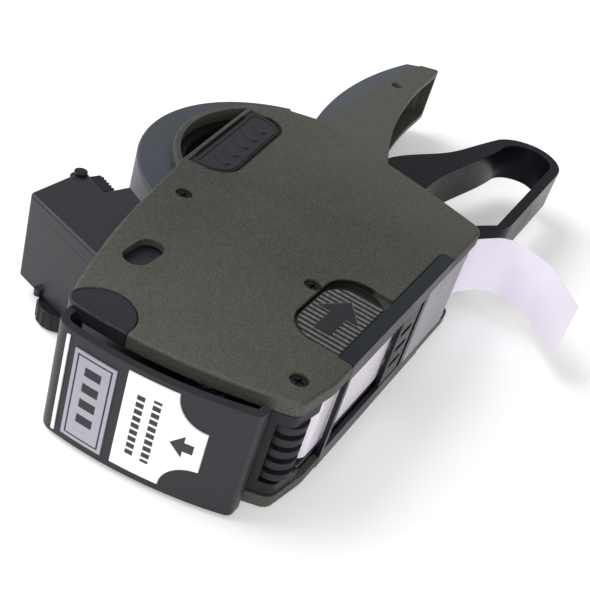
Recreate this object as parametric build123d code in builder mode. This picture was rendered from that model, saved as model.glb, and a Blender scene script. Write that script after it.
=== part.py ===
from build123d import *
import os
from math import cos, sin, radians

# Price labeling gun, millimetres.  It lies on its right side: Z runs across the gun, +X runs
# back towards the handle and +Y up towards the print head.  The origin is the label roll's axis
# where it meets the outer face of the right cover.

# ---- driving dimensions ----
body_width = 38.0          # across both side covers
base_drop = 60.0           # roll axis to the flat base
front_reach = 108.6        # roll axis to the covers' front edge
rear_reach = 37.4          # roll axis to the covers' rear corner
rim_radius = 40.4          # round top of the covers, about the roll axis
drum_radius = 51.0         # outside of the roll housing
label_width = 22.0         # web of labels
roll_radius = 29.0         # full roll of labels
handle_length = 105.0      # rear edge of the covers to the tip of the handle
handle_width = 22.0
trigger_width = 15.0
trigger_reach = 123.0      # roll axis to the tip of the finger loop
trigger_travel = 14.0      # degrees, for a full squeeze
arm_ratio = 0.45           # turn of the print arm for one of the trigger

# ---- walls, clearances and small sizes ----
cover_face = 2.2
cover_depth = 4.5
cover_wall = 2.0
cover_edge = 1.1
slide_gap = 0.3            # between pieces that move past each other
seat_gap = 0.1             # between pieces that are fixed side by side
running_fit = 0.05         # radial, for pins and shafts that turn
plate_thickness = 1.5      # steel bearing plates
cheek_thickness = 1.3      # cheeks of the print arm
drum_wall = 2.4
housing_wall = 1.8
shell_wall = 2.2
front_stand_off = 6.6      # front plate ahead of the covers' front edge
front_wall = 2.2
sheet_thickness = 0.4
web_thickness = 0.3
door_floor = 1.4
pin_radius = 2.0
screw_radius = 1.4
screw_head = 2.3

mid = body_width / 2
inner_top = body_width - cover_face
skirt_top = body_width - cover_depth
plate_low = cover_depth + seat_gap
plate_high = body_width - plate_low - plate_thickness
web_low = mid - label_width / 2
web_high = mid + label_width / 2
cheek_low = web_low - slide_gap - cheek_thickness
cheek_high = web_high + slide_gap
pivot = (0.0, -base_drop + 22.0)
base_y = -base_drop
arm_travel = trigger_travel * arm_ratio
roll_axis = (0.0, 0.0)

os.makedirs("parts", exist_ok=True)


def save(builder, name):
    """Label a finished piece and write it to its own file."""
    builder.part.label = name
    export_step(builder.part, f"parts/{name}.step")


def turned(point, degrees, centre):
    """A point turned about a centre, anticlockwise seen from +Z."""
    turn = radians(degrees)
    dx = point[0] - centre[0]
    dy = point[1] - centre[1]
    return (
        centre[0] + dx * cos(turn) - dy * sin(turn),
        centre[1] + dx * sin(turn) + dy * cos(turn),
    )


def on_circle(radius, degrees):
    """A point on a circle about the roll axis."""
    return (radius * cos(radians(degrees)), radius * sin(radians(degrees)))


# ---- profiles in the plane of the covers ----
base_front = (-front_reach + 25.6, base_y)
chin_low = (-front_reach + 11.4, base_y + 2.4)
chin_high = (-front_reach + 8.8, base_y + 10.0)
brow = (-front_reach + 0.4, 6.0)
kink = (-front_reach + 51.6, rim_radius - 19.3)
rear_base = (rear_reach - 16.4, base_y)
rear_top = (rear_reach, 12.5)
rim_front = on_circle(rim_radius, 139.7)
rim_rear = on_circle(rim_radius, 33.0)


outline_rounding = [
    (base_front, 15.0),
    (chin_low, 4.0),
    (brow, 4.0),
    (rim_front, 3.0),
    (rim_rear, 8.0),
    (rear_top, 5.0),
    (rear_base, 5.0),
]


def along(start, end):
    """The direction from one point to another."""
    return (end[0] - start[0], end[1] - start[1])


def corner_near(sketch, point):
    """The sketch's corner nearest to a point."""
    return sketch.vertices().sort_by_distance(Vector(*point))[0]


with BuildSketch() as body_outline:
    with BuildLine():
        Line(rear_base, base_front)
        Line(base_front, chin_low)
        Line(chin_low, chin_high)
        TangentArc(chin_high, brow, tangent=along(chin_low, chin_high))
        TangentArc(kink, brow, tangent=along(rim_front, kink))
        Line(kink, rim_front)
        ThreePointArc(rim_front, (0, rim_radius), rim_rear)
        Line(rim_rear, rear_top)
        ThreePointArc(rear_top, (rear_reach - 6.1, -22.0), rear_base)
    make_face()
    for corner, radius in outline_rounding:
        fillet(corner_near(body_outline, corner), radius)

def moved_outline(amount):
    """The covers' outline moved out, or in where the amount is negative, as lines and plain arcs."""
    with BuildSketch(mode=Mode.PRIVATE) as moved:
        add(body_outline.sketch)
        offset(amount=amount)
    with BuildSketch(mode=Mode.PRIVATE) as redrawn:
        with BuildLine():
            for edge in moved.edges():
                if edge.geom_type == GeomType.LINE:
                    Line(edge @ 0, edge @ 1)
                else:
                    ThreePointArc(edge @ 0, edge @ 0.5, edge @ 1)
        make_face()
    return redrawn.sketch


cover_cavity = moved_outline(-cover_wall)
body_clear = moved_outline(seat_gap)

# The round window shows the roll above a chord of the rim, and the badge sits below that chord.
chord_tilt = 6.4
chord_distance = 29.5
window_radius = rim_radius - 2.4
badge_length = 47.0
badge_depth = 14.6
badge_corner = 8.5


def chord_plane(height):
    """A plane at a height, turned to lie along the window's chord."""
    return Plane(
        origin=(0, 0, height),
        x_dir=(cos(radians(chord_tilt)), sin(radians(chord_tilt)), 0),
        z_dir=(0, 0, 1),
    )


def badge_face(shrink):
    """The badge's outline, straight along the chord and rounded below it."""
    centre_y = chord_distance - 1.5 - badge_depth / 2
    with BuildSketch(mode=Mode.PRIVATE) as face:
        with Locations((0.5, centre_y)):
            Rectangle(badge_length - 2 * shrink, badge_depth - 2 * shrink)
        lower = face.vertices().group_by(Axis.Y)[0]
        fillet(lower, badge_corner - shrink)
    return face.sketch


screw_places = [
    (-front_reach + 65.4, 15.0),
    (-front_reach + 18.8, base_y + 7.8),
    (-front_reach + 56.8, base_y + 25.0),
]
slot_place = (-front_reach + 31.7, 5.2)
slot_length = 14.0
slot_height = 8.0
cap_place = (-front_reach + 2.2, -2.5)
cap_radius = 10.0

# The latch pad slides back inside a recess above the door's side rail.
rail_front = -front_reach + 34.6
rail_rear = rail_front + 70.0
rail_height = 4.4
recess_length = 34.0
recess_height = 17.8
recess_radius = 9.0
recess_depth = 1.9
latch_travel = 4.0
stem_length = 8.0
stem_width = 4.0
recess_place = (rail_front + recess_length / 2 + 0.4, base_y + rail_height + recess_height / 2)
door_opening_gap = 0.35


def recess_face(shrink, shorter=0.0):
    """The latch recess: straight along the rail and rounded above."""
    with BuildSketch(mode=Mode.PRIVATE) as face:
        with Locations((recess_place[0] - shorter / 2, recess_place[1])):
            Rectangle(recess_length - 2 * shrink - shorter, recess_height - 2 * shrink)
        upper = face.vertices().group_by(Axis.Y)[-1]
        fillet(upper, recess_radius - shrink)
    return face.sketch


def rail_face(grow):
    """The side rail of the base door, where it lies flush in the cover."""
    with BuildSketch(mode=Mode.PRIVATE) as face:
        with Locations(((rail_front + rail_rear) / 2, base_y + rail_height / 2)):
            Rectangle(rail_rear - rail_front + 2 * grow, rail_height + 2 * grow)
        fillet(face.vertices().group_by(Axis.X)[-1].sort_by(Axis.Y)[-1], 2.0 + grow)
    return face.sketch


# ---- side covers ----
with BuildPart() as left_cover:
    with BuildSketch(Plane.XY.offset(skirt_top)):
        add(body_outline.sketch)
    extrude(amount=cover_depth)
    fillet(left_cover.faces().sort_by(Axis.Z)[-1].outer_wire().edges(), cover_edge)
    with BuildSketch(Plane.XY.offset(skirt_top)):
        add(cover_cavity)
    extrude(amount=cover_depth - cover_face, mode=Mode.SUBTRACT)
    # a thicker floor carries the latch
    with BuildSketch(Plane.XY.offset(skirt_top + 1.1)):
        add(recess_face(-1.5))
        add(body_outline.sketch, mode=Mode.INTERSECT)
    extrude(amount=cover_depth - cover_face - 1.1)
    with BuildSketch(Plane.XY.offset(body_width - recess_depth)):
        add(recess_face(0.0))
    extrude(amount=recess_depth, mode=Mode.SUBTRACT)
    with BuildSketch(Plane.XY.offset(skirt_top)):
        with Locations((recess_place[0], recess_place[1])):
            Rectangle(stem_length + latch_travel + 2 * slide_gap, stem_width + 2 * slide_gap)
    extrude(amount=cover_depth, mode=Mode.SUBTRACT)
    with BuildSketch(Plane.XY.offset(skirt_top - 1)):
        add(rail_face(door_opening_gap))
    extrude(amount=cover_depth + 2, mode=Mode.SUBTRACT)
    # window above the chord
    with BuildSketch(chord_plane(skirt_top)):
        Circle(window_radius)
        with Locations((0, chord_distance - window_radius)):
            Rectangle(4 * window_radius, 2 * window_radius, mode=Mode.SUBTRACT)
    extrude(amount=cover_depth, mode=Mode.SUBTRACT)
    # badge pocket
    with BuildSketch(chord_plane(body_width - 0.9)):
        add(badge_face(0.0))
    extrude(amount=0.9, mode=Mode.SUBTRACT)
    # bosses and counterbores for the three screws
    with BuildSketch(Plane.XY.offset(skirt_top)):
        with Locations(*screw_places):
            Circle(3.4)
    extrude(amount=cover_depth - cover_face)
    with Locations(*[(x, y, body_width) for x, y in screw_places]):
        CounterBoreHole(screw_radius + seat_gap, screw_head + 0.3, 1.9)
    # oblong slot
    with BuildSketch(Plane.XY.offset(skirt_top)):
        with Locations(slot_place):
            SlotOverall(slot_length, slot_height)
    extrude(amount=cover_depth, mode=Mode.SUBTRACT)
    # corner that the cap fills
    with BuildSketch(Plane.XY.offset(skirt_top - 1)):
        with Locations(cap_place):
            Circle(cap_radius)
    extrude(amount=cover_depth + 2, mode=Mode.SUBTRACT)
    # the print head rises past the skirt here
    with BuildSketch(Plane.XY.offset(skirt_top - 1)):
        with Locations((-front_reach + 37.0, 16.0)):
            Rectangle(52.0, 34.0)
    extrude(amount=inner_top - skirt_top + 1, mode=Mode.SUBTRACT)
    # boss round the roll spindle
    with BuildSketch(Plane.XY.offset(skirt_top)):
        Circle(6.0)
        Circle(3.0 + running_fit, mode=Mode.SUBTRACT)
    extrude(amount=cover_depth - cover_face)
save(left_cover, "left_cover")

# The right cover mirrors the left one, with a bite for the selector knob at the end of its stroke.
knob_place = (-front_reach + 31.4, 28.0)
knob_radius = 7.0
knob_low = 0.4
head_low = 6.5
head_high = inner_top - 0.8
knob_down = turned(knob_place, arm_travel, pivot)
with BuildPart() as right_cover:
    add(left_cover.part.mirror(Plane.XY.offset(mid)))
    with BuildSketch(Plane.XY.offset(-1)):
        with Locations(knob_down, knob_place):
            Circle(knob_radius + 2.5 * slide_gap)
    extrude(amount=cover_depth + 2, mode=Mode.SUBTRACT)
save(right_cover, "right_cover")

# ---- corner caps and badges ----
with BuildPart() as left_corner_cap:
    with BuildSketch(Plane.XY.offset(skirt_top + 0.2)):
        with Locations(cap_place):
            Circle(cap_radius - 2 * seat_gap)
        add(body_outline.sketch, mode=Mode.INTERSECT)
    extrude(amount=cover_depth - 0.4)
    fillet(left_corner_cap.faces().sort_by(Axis.Z)[-1].outer_wire().edges(), 0.5)
save(left_corner_cap, "left_corner_cap")

with BuildPart() as right_corner_cap:
    add(left_corner_cap.part.mirror(Plane.XY.offset(mid)))
save(right_corner_cap, "right_corner_cap")

badge_stripes = 5
badge_pitch = 7.0
with BuildPart() as left_badge:
    with BuildSketch(chord_plane(body_width - 0.9)):
        add(badge_face(1.0))
    extrude(amount=0.5)
    with BuildSketch(chord_plane(body_width - 0.4)):
        with Locations((0.5, chord_distance - 1.5 - badge_depth / 2)):
            with GridLocations(badge_pitch, 1.0, badge_stripes, 1):
                SlotOverall(7.0, 2.2, rotation=60)
    extrude(amount=0.4)
save(left_badge, "left_badge")

with BuildPart() as right_badge:
    add(left_badge.part.mirror(Plane.XY.offset(mid)))
save(right_badge, "right_badge")

# ---- roll housing: a drum wall over the roll, with a ring at each side ----
drum_inner = drum_radius - drum_wall
drum_low = plate_low
drum_high = body_width - drum_low
ring_thickness = 2.0
ring_radius = rim_radius - 4.4
drum_front_angle = 153.0
drum_rear_angle = 31.0
wall_front_angle = 163.0
rear_wall_low = 9.0


def sector(radius, low_angle, high_angle):
    """A pie slice about the roll axis."""
    with BuildSketch(mode=Mode.PRIVATE) as slice_face:
        with BuildLine():
            start = on_circle(radius, low_angle)
            end = on_circle(radius, high_angle)
            Line((0, 0), start)
            ThreePointArc(start, on_circle(radius, (low_angle + high_angle) / 2), end)
            Line(end, (0, 0))
        make_face()
    return slice_face.sketch


with BuildPart() as roll_housing:
    with BuildSketch(Plane.XY.offset(drum_low)):
        add(sector(drum_radius, drum_rear_angle, wall_front_angle))
        Circle(drum_inner, mode=Mode.SUBTRACT)
    extrude(amount=drum_high - drum_low)
    for height in (drum_low, drum_high - ring_thickness):
        with BuildSketch(Plane.XY.offset(height)):
            add(sector(drum_radius, drum_rear_angle, drum_front_angle))
            Circle(ring_radius, mode=Mode.SUBTRACT)
        extrude(amount=ring_thickness)
    # the rear wall drops from the drum to the handle
    wall_top = on_circle(drum_radius, drum_rear_angle + 1)
    with BuildSketch(Plane.XY.offset(drum_low)):
        with BuildLine():
            Polyline(
                wall_top,
                (wall_top[0] - drum_wall, wall_top[1]),
                (rear_reach - 2.4, 20.0),
                (rear_reach - 2.8, rear_wall_low),
                (rear_reach - 0.4, rear_wall_low),
                (rear_reach, 20.0),
                close=True,
            )
        make_face()
    extrude(amount=drum_high - drum_low)
    outer_edges = roll_housing.edges().filter_by(GeomType.CIRCLE)
    outer_edges = outer_edges.filter_by(lambda edge: abs(edge.radius - drum_radius) < 0.01)
    fillet(outer_edges, 1.0)
save(roll_housing, "roll_housing")

# ---- bearing plates inside the covers ----
spindle_radius = 3.0
feed_place = (-22.0, base_y + 13.5)
roller_place = (-front_reach + 16.8, base_y + 6.4)
hinge_place = (rear_base[0] - 6.0, base_y + 4.2)
pawl_place = (feed_place[0] - 16.5, feed_place[1] + 1.5)
pawl_pin_radius = 1.0
axle_radius = 1.5
stub_radius = 1.2
ink_place = (-front_reach + 11.1, -32.0)
plate_rear = rear_reach - 5.0
head_front_low = (-front_reach + 20.6, -20.0)
plate_step = turned(head_front_low, arm_travel, pivot)[1] - 2 * slide_gap
step_rear = -front_reach + 64.6
pillar_radius = 2.6
pillar_places = [screw_places[0], screw_places[2]]


def bearing_plate(height, name):
    """A steel side plate that carries the pivot, the feed axle, the roll and the roller."""
    with BuildPart() as plate:
        with BuildSketch(Plane.XY.offset(height)):
            add(moved_outline(-cover_wall - slide_gap))
            with Locations((step_rear - front_reach / 2, plate_step + rim_radius)):
                Rectangle(front_reach, 2 * rim_radius, mode=Mode.SUBTRACT)
            with Locations((0, 10.0 + rim_radius)):
                Rectangle(4 * rim_radius, 2 * rim_radius, mode=Mode.SUBTRACT)
            with Locations((plate_rear + 20.0, 0)):
                Rectangle(40.0, 4 * rim_radius, mode=Mode.SUBTRACT)
            with Locations(pivot):
                Circle(pin_radius + seat_gap, mode=Mode.SUBTRACT)
            with Locations(roll_axis):
                Circle(spindle_radius + seat_gap, mode=Mode.SUBTRACT)
            with Locations(feed_place, roller_place):
                Circle(axle_radius + running_fit, mode=Mode.SUBTRACT)
            with Locations(hinge_place):
                Circle(stub_radius + running_fit, mode=Mode.SUBTRACT)
            with Locations(pawl_place):
                Circle(pawl_pin_radius + running_fit, mode=Mode.SUBTRACT)
            with Locations(*pillar_places):
                Circle(pillar_radius + seat_gap, mode=Mode.SUBTRACT)
        extrude(amount=plate_thickness)
    save(plate, name)


bearing_plate(plate_low, "right_bearing_plate")
bearing_plate(plate_high, "left_bearing_plate")

# ---- pillars and screws that hold the covers together ----
screw_reach = 5.5          # how far a screw enters its pillar
with BuildPart() as cover_pillars:
    with BuildSketch(Plane.XY.offset(plate_low)):
        with Locations(*pillar_places):
            Circle(pillar_radius)
    extrude(amount=body_width - 2 * plate_low)
    for height in (plate_low, body_width - plate_low - screw_reach):
        with BuildSketch(Plane.XY.offset(height)):
            with Locations(*pillar_places):
                Circle(screw_radius + seat_gap)
        extrude(amount=screw_reach, mode=Mode.SUBTRACT)
save(cover_pillars, "cover_pillars")

head_seat = body_width - 1.9
with BuildPart() as left_cover_screws:
    with BuildSketch(Plane.XY.offset(skirt_top + seat_gap)):
        with Locations(*screw_places):
            Circle(screw_radius)
    extrude(amount=head_seat - skirt_top - seat_gap)
    with BuildSketch(Plane.XY.offset(plate_high + plate_thickness - screw_reach + 1)):
        with Locations(*pillar_places):
            Circle(screw_radius)
    extrude(amount=screw_reach)
    with BuildSketch(Plane.XY.offset(head_seat)):
        with Locations(*screw_places):
            Circle(screw_head)
    extrude(amount=1.3)
    with BuildSketch(Plane.XY.offset(head_seat + 0.5)):
        with Locations(*screw_places):
            Rectangle(3.0, 0.7)
            Rectangle(0.7, 3.0)
    extrude(amount=1.0, mode=Mode.SUBTRACT)
save(left_cover_screws, "left_cover_screws")

with BuildPart() as right_cover_screws:
    add(left_cover_screws.part.mirror(Plane.XY.offset(mid)))
save(right_cover_screws, "right_cover_screws")

# ---- front plate with its nameplate, card and trim strip ----
front_face = -front_reach - front_stand_off
front_low = 1.5
front_high = body_width - front_low
front_foot = (-front_reach + 1.6, base_y + 8.0)
front_top = (front_face + 0.4, 4.6)
front_middle = (front_face + 0.7, -22.0)


def front_region(grow, rear_x):
    """The space between the front plate's outer face and a line inside the body."""
    with BuildSketch(mode=Mode.PRIVATE) as region:
        with BuildLine():
            Line((rear_x, front_foot[1] - grow), (front_foot[0] - grow, front_foot[1] - grow))
            ThreePointArc(
                (front_foot[0] - grow, front_foot[1] - grow),
                (front_middle[0] - grow, front_middle[1]),
                (front_top[0] - grow, front_top[1] + grow),
            )
            Line((front_top[0] - grow, front_top[1] + grow), (rear_x, front_top[1] + grow))
            Line((rear_x, front_top[1] + grow), (rear_x, front_foot[1] - grow))
        make_face()
        fillet(corner_near(region, (front_top[0] - grow, front_top[1] + grow)), 5.0 + grow)
        fillet(corner_near(region, (front_foot[0] - grow, front_foot[1] - grow)), 2.4 + grow)
    return region.sketch


front_inside = -front_reach + 6.0
with BuildPart() as front_plate:
    with BuildSketch(Plane.XY.offset(front_low)):
        add(front_region(0.0, front_inside))
        add(body_clear, mode=Mode.SUBTRACT)
    extrude(amount=front_high - front_low)
    # a channel runs along both edges, outside the covers
    for height, depth in ((front_high - 5.0, 6.0), (front_low - 1.0, 6.0)):
        with BuildSketch(Plane.XY.offset(height)):
            add(front_region(-front_wall, front_inside + 9.0))
        extrude(amount=depth, mode=Mode.SUBTRACT)
    # hollow behind the face
    with BuildSketch(Plane.XY.offset(front_low + 6.5)):
        add(front_region(-front_wall, front_inside + 9.0))
    extrude(amount=front_high - front_low - 13.0, mode=Mode.SUBTRACT)
save(front_plate, "front_plate")

plate_low_y = -16.3
plate_high_y = -3.8
card_low_y = -41.8
card_high_y = -19.2
notch_radius = 9.0
label_side = 4.6


def face_sheet(low_y, high_y, low_z, high_z, thickness):
    """A thin sheet that lies on the front plate's curved face."""
    with BuildPart(mode=Mode.PRIVATE) as sheet:
        with BuildSketch(Plane.XY.offset(low_z)):
            add(front_region(thickness, front_inside))
            add(front_region(0.0, front_inside - 2), mode=Mode.SUBTRACT)
            with Locations((front_face, (low_y + high_y) / 2)):
                Rectangle(20.0, high_y - low_y, mode=Mode.INTERSECT)
        extrude(amount=high_z - low_z)
    return sheet.part


with BuildPart() as nameplate:
    add(face_sheet(plate_low_y, plate_high_y, label_side - 0.6, body_width - label_side - 0.6, sheet_thickness))
save(nameplate, "nameplate")

with BuildPart() as instruction_card:
    add(face_sheet(card_low_y, card_high_y, label_side - 0.6, body_width - 3.0, sheet_thickness))
    # a finger notch at each lower corner
    with BuildSketch(Plane.YZ.offset(front_face - 5.0)):
        with Locations((card_low_y, label_side - 0.6), (card_low_y, body_width - 3.0)):
            Circle(notch_radius)
    extrude(amount=20.0, mode=Mode.SUBTRACT)
save(instruction_card, "instruction_card")

with BuildPart() as trim_strip:
    add(face_sheet(plate_high_y + 2.2, plate_high_y + 3.2, 3.0, body_width - 3.0, sheet_thickness))
save(trim_strip, "trim_strip")

# ---- panel over the front and frame round the applicator roller ----
with BuildPart() as brow_panel:
    with BuildSketch(Plane.XY.offset(plate_low)):
        add(body_outline.sketch)
        add(cover_cavity, mode=Mode.SUBTRACT)
        with Locations((-front_reach + 5.0, 8.0)):
            Rectangle(20.0, 12.0, mode=Mode.INTERSECT)
    extrude(amount=body_width - 2 * plate_low)
save(brow_panel, "brow_panel")

nose_low = plate_low + 0.5
nose_high = body_width - nose_low
roller_length = nose_high - nose_low - 9.0
roller_rim = 5.3
with BuildPart() as nose_frame:
    with BuildSketch(Plane.XY.offset(nose_low)):
        add(moved_outline(-0.4))
        add(moved_outline(-1.8), mode=Mode.SUBTRACT)
        with Locations((-front_reach + 13.0, base_y + 5.0)):
            Rectangle(18.0, 13.0, mode=Mode.INTERSECT)
    extrude(amount=nose_high - nose_low)
    with BuildSketch(Plane.XY.offset(mid - roller_length / 2 - 0.8)):
        with Locations(roller_place):
            Circle(roller_rim + 1.2)
            with Locations((0, -6)):
                Rectangle(2 * roller_rim + 2.4, 12.0)
    extrude(amount=roller_length + 1.6, mode=Mode.SUBTRACT)
save(nose_frame, "nose_frame")

# ---- platen, label web and backing strip ----
platen_y = base_y + 8.2
platen_front = roller_place[0] + roller_rim + 2.0
platen_rear = platen_front + 24.0
with BuildPart() as platen:
    with BuildSketch(Plane.XY.offset(plate_low + plate_thickness + seat_gap)):
        with BuildLine():
            Polyline(
                (platen_front, platen_y - 0.9),
                (platen_front + 3.0, platen_y),
                (platen_rear, platen_y),
                (platen_rear, platen_y - 1.8),
                (platen_front + 2.0, platen_y - 1.8),
                close=True,
            )
        make_face()
    extrude(amount=plate_high - plate_low - plate_thickness - 2 * seat_gap)
save(platen, "platen")


def ribbon(path_points, radii, width_low, width_high, name):
    """A thin strip that follows straight runs joined by tangent arcs."""
    with BuildPart() as strip:
        with BuildSketch(Plane.XY.offset(width_low)):
            with BuildLine() as centre:
                FilletPolyline(*path_points, radius=radii)
            trace(centre.line, line_width=web_thickness)
        extrude(amount=width_high - width_low)
    save(strip, name)


floor_y = base_y + 2.3
web_start = turned((0, -roll_radius - web_thickness / 2 - seat_gap), -35.0, roll_axis)
ribbon(
    [
        web_start,
        (platen_rear + 4.0, platen_y + 0.2 + web_thickness / 2),
        (platen_front + 3.0, platen_y + 0.2 + web_thickness / 2),
        (platen_front - 1.0, platen_y - 0.9),
    ],
    [3.0, 3.0],
    web_low,
    web_high,
    "label_web",
)
strip_exit = rear_base[0] + 6.0
ribbon(
    [
        (platen_front - 1.2, platen_y - 1.6),
        (platen_front + 3.0, floor_y),
        (strip_exit, floor_y),
        (strip_exit + 13.0, floor_y - 9.0),
        (strip_exit + 8.0, floor_y - 26.0),
        (strip_exit - 8.0, floor_y - 40.0),
    ],
    [3.0, 9.0, 9.0, 14.0],
    web_low,
    web_high,
    "backing_strip",
)

# ---- handle: two shells and a smooth spine ----
handle_low = mid - handle_width / 2
handle_high = mid + handle_width / 2
tip_x = rear_reach + handle_length
spine_depth = 6.0
hole_place = (tip_x - 33.0, 11.6)
hole_radius = 2.2
root_x = rear_reach + 0.4


def handle_region():
    """The handle's outline between the shells' lower edge and the ridge."""
    with BuildSketch(mode=Mode.PRIVATE) as region:
        with BuildLine():
            Line((root_x - 6.0, 13.6), (root_x + 17.0, 14.6))
            ThreePointArc((root_x + 17.0, 14.6), (tip_x - 46.0, 16.2), (tip_x - 4.0, 13.6))
            Line((tip_x - 4.0, 13.6), (tip_x, 6.0))
            Line((tip_x, 6.0), (tip_x - 11.0, 5.2))
            ThreePointArc((tip_x - 11.0, 5.2), (root_x + 39.0, -3.2), (root_x - 3.0, -20.5))
            Line((root_x - 3.0, -20.5), (root_x - 6.0, 13.6))
        make_face()
        fillet(corner_near(region, (tip_x, 6.0)), 1.5)
    return region.sketch


with BuildSketch() as rear_mask:
    with BuildLine():
        ThreePointArc((root_x, rear_top[1] + 12), (root_x - 1.6, -6.0), (root_x - 10.0, -40.0))
        Line((root_x - 10.0, -40.0), (root_x - 60.0, -40.0))
        Line((root_x - 60.0, -40.0), (root_x - 60.0, rear_top[1] + 12))
        Line((root_x - 60.0, rear_top[1] + 12), (root_x, rear_top[1] + 12))
    make_face()

lug_inner = roll_radius + 1.6


def handle_shell(low, high, inner_low, inner_high, lug_low, lug_high, name):
    """One half of the handle, open towards the trigger, with a lug that enters the body."""
    with BuildPart() as shell:
        with BuildSketch(Plane.XY.offset(low)):
            add(handle_region())
            add(rear_mask.sketch, mode=Mode.SUBTRACT)
        extrude(amount=high - low)
        with BuildSketch(Plane.XY.offset(inner_low)):
            add(handle_region())
            with Locations((0, -shell_wall)):
                add(handle_region(), mode=Mode.INTERSECT)
            with Locations((tip_x, 0)):
                Rectangle(2 * shell_wall + 2.0, 60.0, mode=Mode.SUBTRACT)
        extrude(amount=inner_high - inner_low, mode=Mode.SUBTRACT)
        with BuildSketch(Plane.XY.offset(lug_low)):
            add(handle_region())
            add(rear_mask.sketch, mode=Mode.INTERSECT)
            with Locations((lug_inner + 10.0, 0)):
                Rectangle(20.0, 80.0, mode=Mode.INTERSECT)
            with Locations((0, rear_wall_low + 19.8)):
                Rectangle(200.0, 40.0, mode=Mode.SUBTRACT)
        extrude(amount=lug_high - lug_low)
        with BuildSketch(Plane.XY.offset(low)):
            with Locations(hole_place):
                Circle(hole_radius + 1.6)
        extrude(amount=high - low)
        with BuildSketch(Plane.XY.offset(low)):
            with Locations(hole_place):
                Circle(hole_radius)
        extrude(amount=high - low, mode=Mode.SUBTRACT)
    save(shell, name)


handle_shell(
    mid, handle_high, mid, handle_high - shell_wall,
    handle_high - shell_wall, plate_high, "handle_left_shell",
)
handle_shell(
    handle_low, mid, handle_low + shell_wall, mid,
    plate_low + plate_thickness, handle_low + shell_wall, "handle_right_shell",
)

with BuildPart() as handle_spine:
    with BuildSketch(Plane.XY.offset(handle_low + 0.4)):
        with BuildLine():
            Line((root_x - 6.0, 13.6), (root_x + 17.0, 14.6))
            ThreePointArc((root_x + 17.0, 14.6), (tip_x - 46.0, 16.2), (tip_x - 4.0, 13.6))
            Line((tip_x - 4.0, 13.6), (tip_x - 8.0, 18.4))
            ThreePointArc((tip_x - 8.0, 18.4), (tip_x - 46.0, 16.2 + 1.2 * spine_depth), (root_x + 17.0, 19.4))
            Line((root_x + 17.0, 19.4), (root_x - 6.0, 14.8))
            Line((root_x - 6.0, 14.8), (root_x - 6.0, 13.6))
        make_face()
        add(rear_mask.sketch, mode=Mode.SUBTRACT)
        with Locations((rear_reach - 60.0, 0)):
            Rectangle(120.0 + 2 * 0.9, 80.0, mode=Mode.SUBTRACT)
    extrude(amount=handle_width - 0.8)
save(handle_spine, "handle_spine")

# ---- trigger: a finger loop on a lever that turns about the main pivot ----
trigger_low = mid - trigger_width / 2
trigger_high = mid + trigger_width / 2
hub_radius = 6.5
limb = 4.2
tip_y = base_y + 10.0
loop_floor = base_y - 2.6
loop_corner = (rear_reach + 14.0, loop_floor)
opening_front = rear_reach + 4.0

with BuildSketch() as trigger_outline:
    with BuildLine():
        hub_top = (pivot[0], pivot[1] + hub_radius)
        hub_foot = (pivot[0], pivot[1] - hub_radius)
        nose_top = (trigger_reach - 9.0, tip_y + 15.0)
        tip = (trigger_reach, tip_y)
        tip_foot = (trigger_reach - 15.0, loop_floor)
        Spline(
            hub_top,
            (rear_reach - 12.0, tip_y + 23.0),
            (rear_reach + 13.0, tip_y + 39.5),
            (rear_reach + 41.6, tip_y + 27.3),
            nose_top,
            tangents=[(1, 0), (1, -0.35)],
        )
        ThreePointArc(nose_top, (trigger_reach - 1.6, tip_y + 7.6), tip)
        ThreePointArc(tip, (trigger_reach - 4.4, tip_y - 8.6), tip_foot)
        Line(tip_foot, loop_corner)
        Line(loop_corner, (rear_reach - 1.0, base_y + 7.0))
        Line((rear_reach - 1.0, base_y + 7.0), hub_foot)
        Line(hub_foot, hub_top)
    make_face()
    fillet(corner_near(trigger_outline, loop_corner), 14.0)
    with Locations(pivot):
        Circle(hub_radius)

with BuildSketch() as finger_opening:
    with BuildLine():
        inner_floor = loop_floor + limb - 0.4
        Line((opening_front, inner_floor + 6.0), (opening_front, tip_y + 19.0))
        Spline(
            (opening_front, tip_y + 19.0),
            (rear_reach + 33.6, tip_y + 18.0),
            (rear_reach + 54.6, tip_y + 13.6),
            (trigger_reach - 14.0, tip_y + 11.0),
        )
        ThreePointArc(
            (trigger_reach - 14.0, tip_y + 11.0),
            (trigger_reach - limb - 1.4, tip_y + 5.4),
            (trigger_reach - limb, tip_y),
        )
        ThreePointArc(
            (trigger_reach - limb, tip_y),
            (trigger_reach - limb - 3.6, tip_y - 6.4),
            (trigger_reach - 16.0, inner_floor),
        )
        Line((trigger_reach - 16.0, inner_floor), (opening_front + 8.0, inner_floor))
        Line((opening_front + 8.0, inner_floor), (opening_front, inner_floor + 6.0))
    make_face()
    fillet(corner_near(finger_opening, (opening_front, tip_y + 19.0)), 3.0)

with BuildPart() as trigger:
    with BuildSketch(Plane.XY.offset(trigger_low)):
        add(trigger_outline.sketch)
        add(finger_opening.sketch, mode=Mode.SUBTRACT)
        with Locations(pivot):
            Circle(pin_radius + running_fit, mode=Mode.SUBTRACT)
    extrude(amount=trigger_width)
save(trigger, "trigger")

with BuildPart() as main_pivot_pin:
    with BuildSketch(Plane.XY.offset(plate_low)):
        with Locations(pivot):
            Circle(pin_radius)
    extrude(amount=body_width - 2 * plate_low)
    for height in (plate_low - 0.9, body_width - plate_low):
        with BuildSketch(Plane.XY.offset(height)):
            with Locations(pivot):
                Circle(pin_radius + 1.2)
        extrude(amount=0.9)
save(main_pivot_pin, "main_pivot_pin")

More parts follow.
